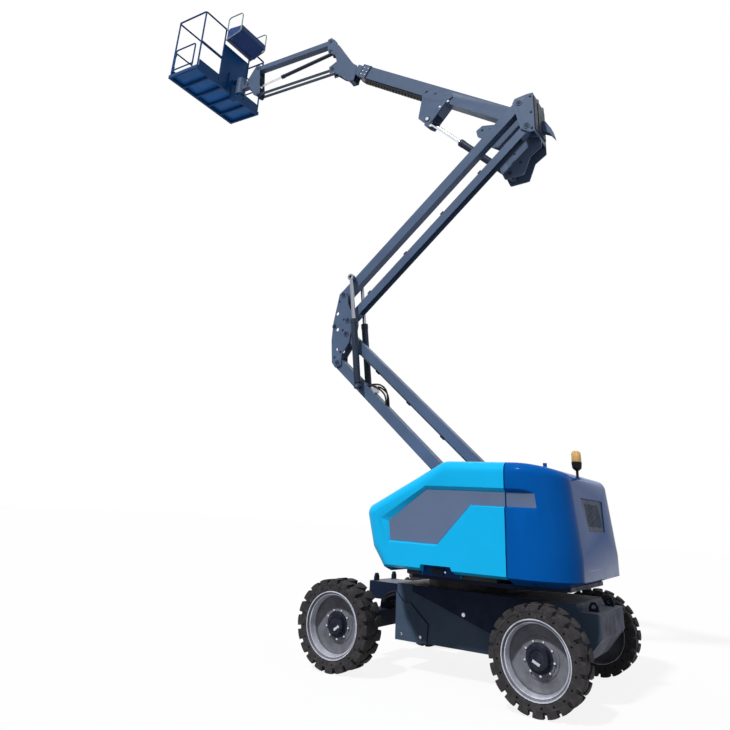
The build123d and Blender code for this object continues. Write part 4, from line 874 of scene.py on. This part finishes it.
class BOOMLIFT_OT_riser(bpy.types.Operator):
    """Riser arms, links, elbow and cylinders, with their pins, pipes and hoses"""
    bl_idname = "boomlift.riser"
    bl_label = "Riser"

    def execute(self, context):
        sizes = context.scene.boom_lift_details
        for node in ("lower_arm", "upper_arm", "lower_link", "upper_link"):
            softened(node, sizes.tube_edge, ("slate",))
        for node in ("elbow_plates", "upright"):
            softened(node, sizes.plate_edge * 1.5, ("slate",))
        softened("riser_barrels", sizes.plate_edge, ("slate_dark",))
        refinish("rod_dark", "riser_rods")
        self.elbow(sizes)
        self.upright(sizes)
        self.pipes(sizes)
        self.valve(sizes)
        return {"FINISHED"}

    def elbow(self, sizes):
        """Pin ends and bolts on both elbow plates."""
        bm = bmesh.new()
        for y, out in RISER_FACES:
            caps(bm, ELBOW_PINS, y, out, 0.03)
            heads(bm, [(1757, 3883), (1764, 3734), (1845, 4150), (1868, 3370), (1780, 3440)], y, out,
                  sizes.bolt_radius * 0.85)
            heads(bm, [(1905, 3800)], y, out, sizes.bolt_radius * 1.7, 0.014)
        dressed(bm, "elbow_pins", "riser_elbow", ("slate_dark", "slate"))

    def upright(self, sizes):
        """Pin ends, bolts and rear covers of the upright."""
        bm = bmesh.new()
        for y, out in RISER_FACES:
            caps(bm, UPRIGHT_PINS, y, out, 0.032)
        for y, out in BOOM_FACES:
            caps(bm, [BOOM_PIVOT, BOOM_BARREL_PIN], y, out, 0.03)
            heads(bm, [(-450, 6440), (-300, 6470), (-180, 6490), (-620, 6000), (-700, 5850)], y, out,
                  sizes.bolt_radius)
        heads(bm, [(-950, 6640), (-950, 6400), (-950, 6160)], 252, 1, sizes.bolt_radius)
        dressed(bm, "upright_pins", "boom_upright", ("slate_dark", "slate"))
        bm = bmesh.new()
        block(bm, (-1003, -200, 6180), (-984, 90, 6620))
        block(bm, (-997, 110, 6150), (-984, 235, 6650))
        dressed(bm, "rear_covers", "boom_upright", ("slate_dark",), 0.006)

    def pipes(self, sizes):
        """Two pipes in clamps along the side of each link that faces its arm."""
        for name, body, start, end, lift, out in (
                ("upper_pipes", "riser_upper_link", (1640, 3917), (-800, 6143), 1, 1),
                ("lower_pipes", "riser_lower_link", (-440, 1760), (1620, 3604), -1, 1)):
            run = (Vector((end[0], 0, end[1])) - Vector((start[0], 0, start[1])))
            over = Vector((-run.z, 0, run.x)).normalized() * (1 if run.x > 0 else -1) * lift * out
            bm = bmesh.new()
            for y in (150, 190):
                tip = [Vector((x, y, z)) + over * 72 for x, z in (start, end)]
                rod(bm, at(*tip[0]), at(*tip[1]), 0.009, 10, 0)
            for share in (0.12, 0.34, 0.56, 0.78, 0.93):
                middle = Vector((start[0], 170, start[1])) + run * share + over * 70
                turn = run.to_track_quat("X", "Z").to_matrix().to_4x4()
                box_into(bm, (-0.03, -0.042, -0.018), (0.03, 0.042, 0.018), 1,
                         Matrix.Translation(at(*middle)) @ turn)
            dressed(bm, name, body, ("line", "black"), 0.002)

    def valve(self, sizes):
        """Valve block with looped hoses on the lower arm."""
        bm = bmesh.new()
        block(bm, (1215, 140, 2885), (1300, 200, 2950), 1)
        rod(bm, at(1235, 170, 2945), at(1235, 170, 2975), 0.014, 16, 2)
        rod(bm, at(1275, 170, 2945), at(1275, 170, 2968), 0.012, 6, 2)
        for y, reach in ((135, 60), (165, 95), (205, 40)):
            hose(bm, [at(1070, y, 2712), at(1095, y, 2800 + reach), at(1180, y, 2885 + reach),
                      at(1290, y, 2950 + reach / 2), at(1380, y, 2985), at(1430, y, 2985)],
                 sizes.hose_radius, 0, 8, 5)
        for y in (135, 165, 205):
            rod(bm, at(1415, y, 2985), at(1445, y, 2992), 0.014, 6, 2)
        dressed(bm, "valve_and_hoses", "riser_lower_arm", ("hose", "steel", "zinc"))


# outer faces of the riser's plates and of the upright's boom plates: (Y, direction outwards)
RISER_FACES = ((252, 1), (88, -1))
BOOM_FACES = ((-13, 1), (-247, -1))
ELBOW_PINS = [(1816, 3296), (1706, 3681), (1693, 3869), (1783, 4241)]
UPRIGHT_PINS = [(-793, 6591), (-883, 6219)]
BOOM_PIVOT, BOOM_BARREL_PIN, BOOM_ANGLE = (-850, 6530), (-550, 5720), radians(33.1)
PIVOT_LIFT = 60                  # the pivot's height over the boom's middle line


def on_boom(along, y, height):
    """Point at a distance along the boom from its pivot and a height over its middle line, in mm."""
    height -= PIVOT_LIFT
    return at(BOOM_PIVOT[0] + along * cos(BOOM_ANGLE) - height * sin(BOOM_ANGLE), y,
              BOOM_PIVOT[1] + along * sin(BOOM_ANGLE) + height * cos(BOOM_ANGLE))


class BOOMLIFT_OT_boom(bpy.types.Operator):
    """Telescopic boom, its bracket, cylinder and hose carrier"""
    bl_idname = "boomlift.boom"
    bl_label = "Boom"

    def execute(self, context):
        sizes = context.scene.boom_lift_details
        softened("boom_outer", sizes.plate_edge * 1.5, ("slate",))
        softened("boom_inner", sizes.plate_edge, ("slate",))
        softened("boom_cylinder_barrel", sizes.plate_edge, ("slate_dark",))
        refinish("chrome", "boom_cylinder_rod")
        refinish("black", "hose_carrier")
        self.bracket(sizes)
        self.collar(sizes)
        return {"FINISHED"}

    def bracket(self, sizes):
        """Upper part of the bracket's side plates, with three round holes in each."""
        outline = [(775, 7380), (765, 7440), (711, 7488), (640, 7468), (340, 7288), (284, 7238),
                   (272, 7204), (330, 7165), (560, 7200), (760, 7330)]
        bm = bmesh.new()
        plate(bm, outline, -35.5, -17.5)
        plate(bm, outline, -242.5, -224.5)
        item = mesh_object("plates", made(bm, "plates"))
        drill = bmesh.new()
        for x, z in ((690, 7408), (545, 7322), (396, 7236)):
            rod(drill, at(x, -30, z), at(x, 0, z), 0.027, 32)
            rod(drill, at(x, -260, z), at(x, -230, z), 0.027, 32)
        cutter = mesh_object("drill", made(drill, "drill"))
        cut = item.modifiers.new("Holes", "BOOLEAN")
        cut.object, cut.operation, cut.solver = cutter, "DIFFERENCE", "EXACT"
        mesh = evaluated(item)
        bpy.data.objects.remove(cutter)
        bm = bmesh.new()
        bm.from_mesh(mesh)
        dressed(bm, "bracket_plates", "main_boom", ("slate",), 0.003)
        bm = bmesh.new()
        for y, out in ((-19, 1), (-241, -1)):
            caps(bm, [(676, 6930)], y, out, 0.028)
            heads(bm, [(340, 7140), (470, 7080)], y, out, sizes.bolt_radius)
        dressed(bm, "bracket_pins", "main_boom", ("steel", "slate_dark"))

    def collar(self, sizes):
        """Dark bands and bolts round the boom's mouth."""
        bm = bmesh.new()
        along_boom = Matrix.Translation(on_boom(0, 0, 0)) @ Matrix.Rotation(-BOOM_ANGLE, 4, "Y")
        for start, end, grow in ((3090, 3100, 10.5), (3238, 3248, 10.5), (3256, 3266, 5)):
            for low, high in (((start, -225 - grow, -107 - grow), (end, -225, 107 + grow)),
                              ((start, -35, -107 - grow), (end, -35 + grow, 107 + grow)),
                              ((start, -225, -107 - grow), (end, -35, -107)),
                              ((start, -225, 107), (end, -35, 107 + grow))):
                box_into(bm, Vector(low) / 1000, Vector(high) / 1000, 0, along_boom)
        dressed(bm, "collar_bands", "main_boom", ("black",))
        bm = bmesh.new()
        for along in (3125, 3210):
            for height in (-60, 0, 60):
                foot = on_boom(along, -27, height)
                rod(bm, foot, foot + Vector((0, 0.008, 0)), 0.011, 6, 0, 0.001)
        dressed(bm, "collar_bolts", "main_boom", ("zinc",))


class BOOMLIFT_OT_jib(bpy.types.Operator):
    """Jib arm, link, head and cylinder"""
    bl_idname = "boomlift.jib"
    bl_label = "Jib"

    def execute(self, context):
        sizes = context.scene.boom_lift_details
        softened("jib_arm", sizes.tube_edge, ("slate",))
        for node in ("jib_link", "jib_cylinder_barrel"):
            softened(node, sizes.plate_edge, ("slate_dark",))
        for node in ("jib_end", "rotator"):
            softened(node, sizes.plate_edge, ("slate",))
        refinish("chrome", "jib_cylinder_rod")
        self.nose(sizes)
        return {"FINISHED"}

    def nose(self, sizes):
        """Pin ends on the boom's nose and the jib's head, and the hose under the nose."""
        base, tip = (2600, 9130), (4280, 9154)
        bm = bmesh.new()
        for y, out in ((-44, 1), (-216, -1)):
            caps(bm, [base, (base[0] - 10, base[1] - 205), (base[0] - 82, base[1] - 614)], y, out, 0.024)
        dressed(bm, "nose_pins", "boom_extension", ("slate_dark", "slate"))
        bm = bmesh.new()
        for y, out in ((-52, 1), (-208, -1)):
            caps(bm, [tip, (tip[0] + 200, tip[1] - 294), (tip[0] - 82, tip[1] - 614)], y, out, 0.022)
        dressed(bm, "head_pins", "jib_head", ("slate_dark", "slate"))
        bm = bmesh.new()
        for y in (-100, -130, -160):
            hose(bm, [at(base[0] - 470, y, base[1] - 960),
                      at(base[0] - 560, y, base[1] - 985 + (y + 130) / 3),
                      at(base[0] - 600, y, base[1] - 900), at(base[0] - 560, y, base[1] - 820)],
                 sizes.hose_radius * 0.8)
        dressed(bm, "nose_hoses", "boom_extension", ("hose",))


class BOOMLIFT_OT_platform(bpy.types.Operator):
    """Work platform with rails, floor, gate and controls"""
    bl_idname = "boomlift.platform"
    bl_label = "Platform"

    def execute(self, context):
        sizes = context.scene.boom_lift_details

        # Downward faces of the platform floor take the brightened platform blue: painted light
        def underside_lit(middle, normal):
            return int(normal.z < -0.9 and machine(middle)[2] > 8880)

        softened("platform_floor", sizes.plate_edge, ("cage", "cage_light"), underside_lit)
        softened("platform_mount", sizes.plate_edge, ("cage",))
        softened("console", sizes.plate_edge * 3, ("console",), segments=3)
        refinish("cage", "platform_rails", "platform_gate", "toe_boards")
        refinish("guard", "console_guards")
        self.controls(sizes)
        return {"FINISHED"}

    def controls(self, sizes):
        """Levers, stop button and switches on the console's sloping top."""
        low, high = (Vector(v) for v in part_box("console"))
        lean = Vector((0.05, 0.0, 1.0)).normalized()
        top = Vector((low.x + 0.12, (low.y + high.y) / 2, high.z - 0.03))
        bm = bmesh.new()
        for y, height in ((-0.2, 0.07), (0.08, 0.07)):
            foot = top + Vector((0.06, y, 0.0))
            rod(bm, foot, foot + lean * 0.014, 0.034, 24, 0)
            rod(bm, foot + lean * 0.012, foot + lean * height, 0.007, 12, 0)
            rod(bm, foot + lean * height * 0.8, foot + lean * (height + 0.035), 0.016, 16, 0, 0.006)
        foot = top + Vector((0.05, -0.06, 0.0))
        rod(bm, foot, foot + lean * 0.018, 0.016, 20, 0)
        rod(bm, foot + lean * 0.018, foot + lean * 0.032, 0.022, 24, 1, 0.005)
        for i in range(5):
            foot = top + Vector((-0.05, -0.2 + 0.09 * i, -0.006))
            rod(bm, foot, foot + lean * 0.01, 0.01, 12, 2)
            rod(bm, foot + lean * 0.008, foot + lean * 0.032, 0.004, 8, 2)
        dressed(bm, "controls", "platform", ("black", "red", "zinc"))


# ---------------------------------------------------------------- stage
CAMERA_PLACE = (-5.16212, 7.4525, 1.474458)
CAMERA_YAW, CAMERA_PITCH, CAMERA_ROLL = 0.5843, 0.3896, 0.0628
CAMERA_LENS = 32.2
CAMERA_SHIFT = (0.0215, -0.168)


def seen(tree):
    """Socket that is 1 for rays from the camera, from mirrors and through glass."""
    path = tree.nodes.new("ShaderNodeLightPath")
    total = path.outputs["Is Camera Ray"]
    for name in ("Is Glossy Ray", "Is Transmission Ray"):
        most = tree.nodes.new("ShaderNodeMath")
        most.operation = "MAXIMUM"
        tree.links.new(total, most.inputs[0])
        tree.links.new(path.outputs[name], most.inputs[1])
        total = most.outputs[0]
    return total


class BOOMLIFT_OT_stage(bpy.types.Operator):
    """Floor, lights and camera"""
    bl_idname = "boomlift.stage"
    bl_label = "Stage"

    def execute(self, context):
        scene = context.scene
        settings = scene.boom_lift_stage
        scene.view_settings.view_transform = "Standard"
        self.floor(settings)
        self.world(scene, settings)
        self.sun(scene, settings.key, (-0.12, -0.62, -0.77), 4.0, "Key")
        self.sun(scene, settings.fill, (0.8, -0.45, -0.3), 30.0, "Fill")
        data = bpy.data.cameras.new("Camera")
        data.lens = CAMERA_LENS
        data.sensor_width = 36.0
        data.shift_x, data.shift_y = CAMERA_SHIFT
        data.clip_end = 200.0
        camera = bpy.data.objects.new("Camera", data)
        scene.collection.objects.link(camera)
        forward = Vector((sin(CAMERA_YAW) * cos(CAMERA_PITCH), -cos(CAMERA_YAW) * cos(CAMERA_PITCH),
                          sin(CAMERA_PITCH)))
        right = forward.cross(Vector((0, 0, 1))).normalized()
        up = right.cross(forward)
        right, up = (right * cos(CAMERA_ROLL) + up * sin(CAMERA_ROLL),
                     up * cos(CAMERA_ROLL) - right * sin(CAMERA_ROLL))
        turn = Matrix((right, up, -forward)).transposed().to_4x4()
        camera.matrix_world = Matrix.Translation(CAMERA_PLACE) @ turn
        scene.camera = camera
        return {"FINISHED"}

    def floor(self, settings):
        """Pale floor that shows nearly white to the camera and keeps the machine's shadow."""
        bm = bmesh.new()
        bmesh.ops.create_grid(bm, x_segments=4, y_segments=4, size=60.0)
        mesh = made(bm, "floor")
        n = Nodes("Pale floor")
        n.shader.inputs["Roughness"].default_value = 0.9
        n.shader.inputs["Specular IOR Level"].default_value = 0.0
        drift = n.spread(n.noise(0.3), 0.3, 0.7)
        pale = n.mix(drift, shade(settings.floor, 0.99), shade(settings.floor, 1.01))
        n.link(n.mix(seen(n.tree), shade(settings.floor, 0.3), pale), n.shader.inputs["Base Color"])
        glow = n.add("ShaderNodeEmission")
        mix = n.add("ShaderNodeMixShader")
        n.link(n.spread(seen(n.tree), 0.0, 1.0, 0.0, 0.88), mix.inputs["Fac"])
        n.link(n.shader.outputs[0], mix.inputs[1])
        n.link(glow.outputs[0], mix.inputs[2])
        n.link(mix.outputs[0], n.tree.nodes["Material Output"].inputs["Surface"])
        mesh.materials.append(n.material)
        item = bpy.data.objects.new("floor", mesh)
        bpy.context.scene.collection.objects.link(item)

    def world(self, scene, settings):
        """White surroundings, plain white wherever they are seen directly, mirrored or through glass."""
        world = bpy.data.worlds.new("Studio")
        world.use_nodes = True
        tree = world.node_tree
        background, white = tree.nodes["Background"], tree.nodes.new("ShaderNodeBackground")
        for node in (background, white):
            node.inputs["Color"].default_value = (1.0, 1.0, 1.0, 1.0)
        background.inputs["Strength"].default_value = settings.world
        mix = tree.nodes.new("ShaderNodeMixShader")
        tree.links.new(seen(tree), mix.inputs["Fac"])
        tree.links.new(background.outputs[0], mix.inputs[1])
        tree.links.new(white.outputs[0], mix.inputs[2])
        tree.links.new(mix.outputs[0], tree.nodes["World Output"].inputs["Surface"])
        scene.world = world

    def sun(self, scene, strength, direction, spread, name):
        """Sun that shines along a direction, its disc spread over some degrees."""
        data = bpy.data.lights.new(name, "SUN")
        data.energy = strength
        data.angle = radians(spread)
        lamp = bpy.data.objects.new(name, data)
        lamp.rotation_euler = Vector(direction).to_track_quat("-Z", "Y").to_euler()
        scene.collection.objects.link(lamp)


class BOOMLIFT_PT_panel(bpy.types.Panel):
    """Sidebar panel that lists the machine's groups"""
    bl_idname = "BOOMLIFT_PT_panel"
    bl_label = "Boom lift"
    bl_space_type = "VIEW_3D"
    bl_region_type = "UI"
    bl_category = "Boom lift"

    def draw(self, context):
        for operator in OPERATORS:
            self.layout.operator(operator.bl_idname)
        for name, group in GROUPS.items():
            box = self.layout.box()
            for key in group.__annotations__:
                box.prop(getattr(context.scene, name), key)


GROUPS = {"boom_lift_paint": BoomLiftPaint, "boom_lift_wheels": BoomLiftWheels,
          "boom_lift_details": BoomLiftDetails, "boom_lift_stage": BoomLiftStage}
OPERATORS = (BOOMLIFT_OT_tyres, BOOMLIFT_OT_rims, BOOMLIFT_OT_covers, BOOMLIFT_OT_chassis,
             BOOMLIFT_OT_riser, BOOMLIFT_OT_boom, BOOMLIFT_OT_jib, BOOMLIFT_OT_platform,
             BOOMLIFT_OT_stage)
CLASSES = (*GROUPS.values(), *OPERATORS, BOOMLIFT_PT_panel)


def register():
    for item in CLASSES:
        bpy.utils.register_class(item)
    for name, group in GROUPS.items():
        setattr(bpy.types.Scene, name, PointerProperty(type=group))


def unregister():
    for name in GROUPS:
        delattr(bpy.types.Scene, name)
    for item in reversed(CLASSES):
        bpy.utils.unregister_class(item)


def main():
    """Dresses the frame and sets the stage."""
    register()
    make_finishes()
    for operator in OPERATORS:
        group, name = operator.bl_idname.split(".")
        getattr(getattr(bpy.ops, group), name)()


if __name__ == "__main__":
    main()
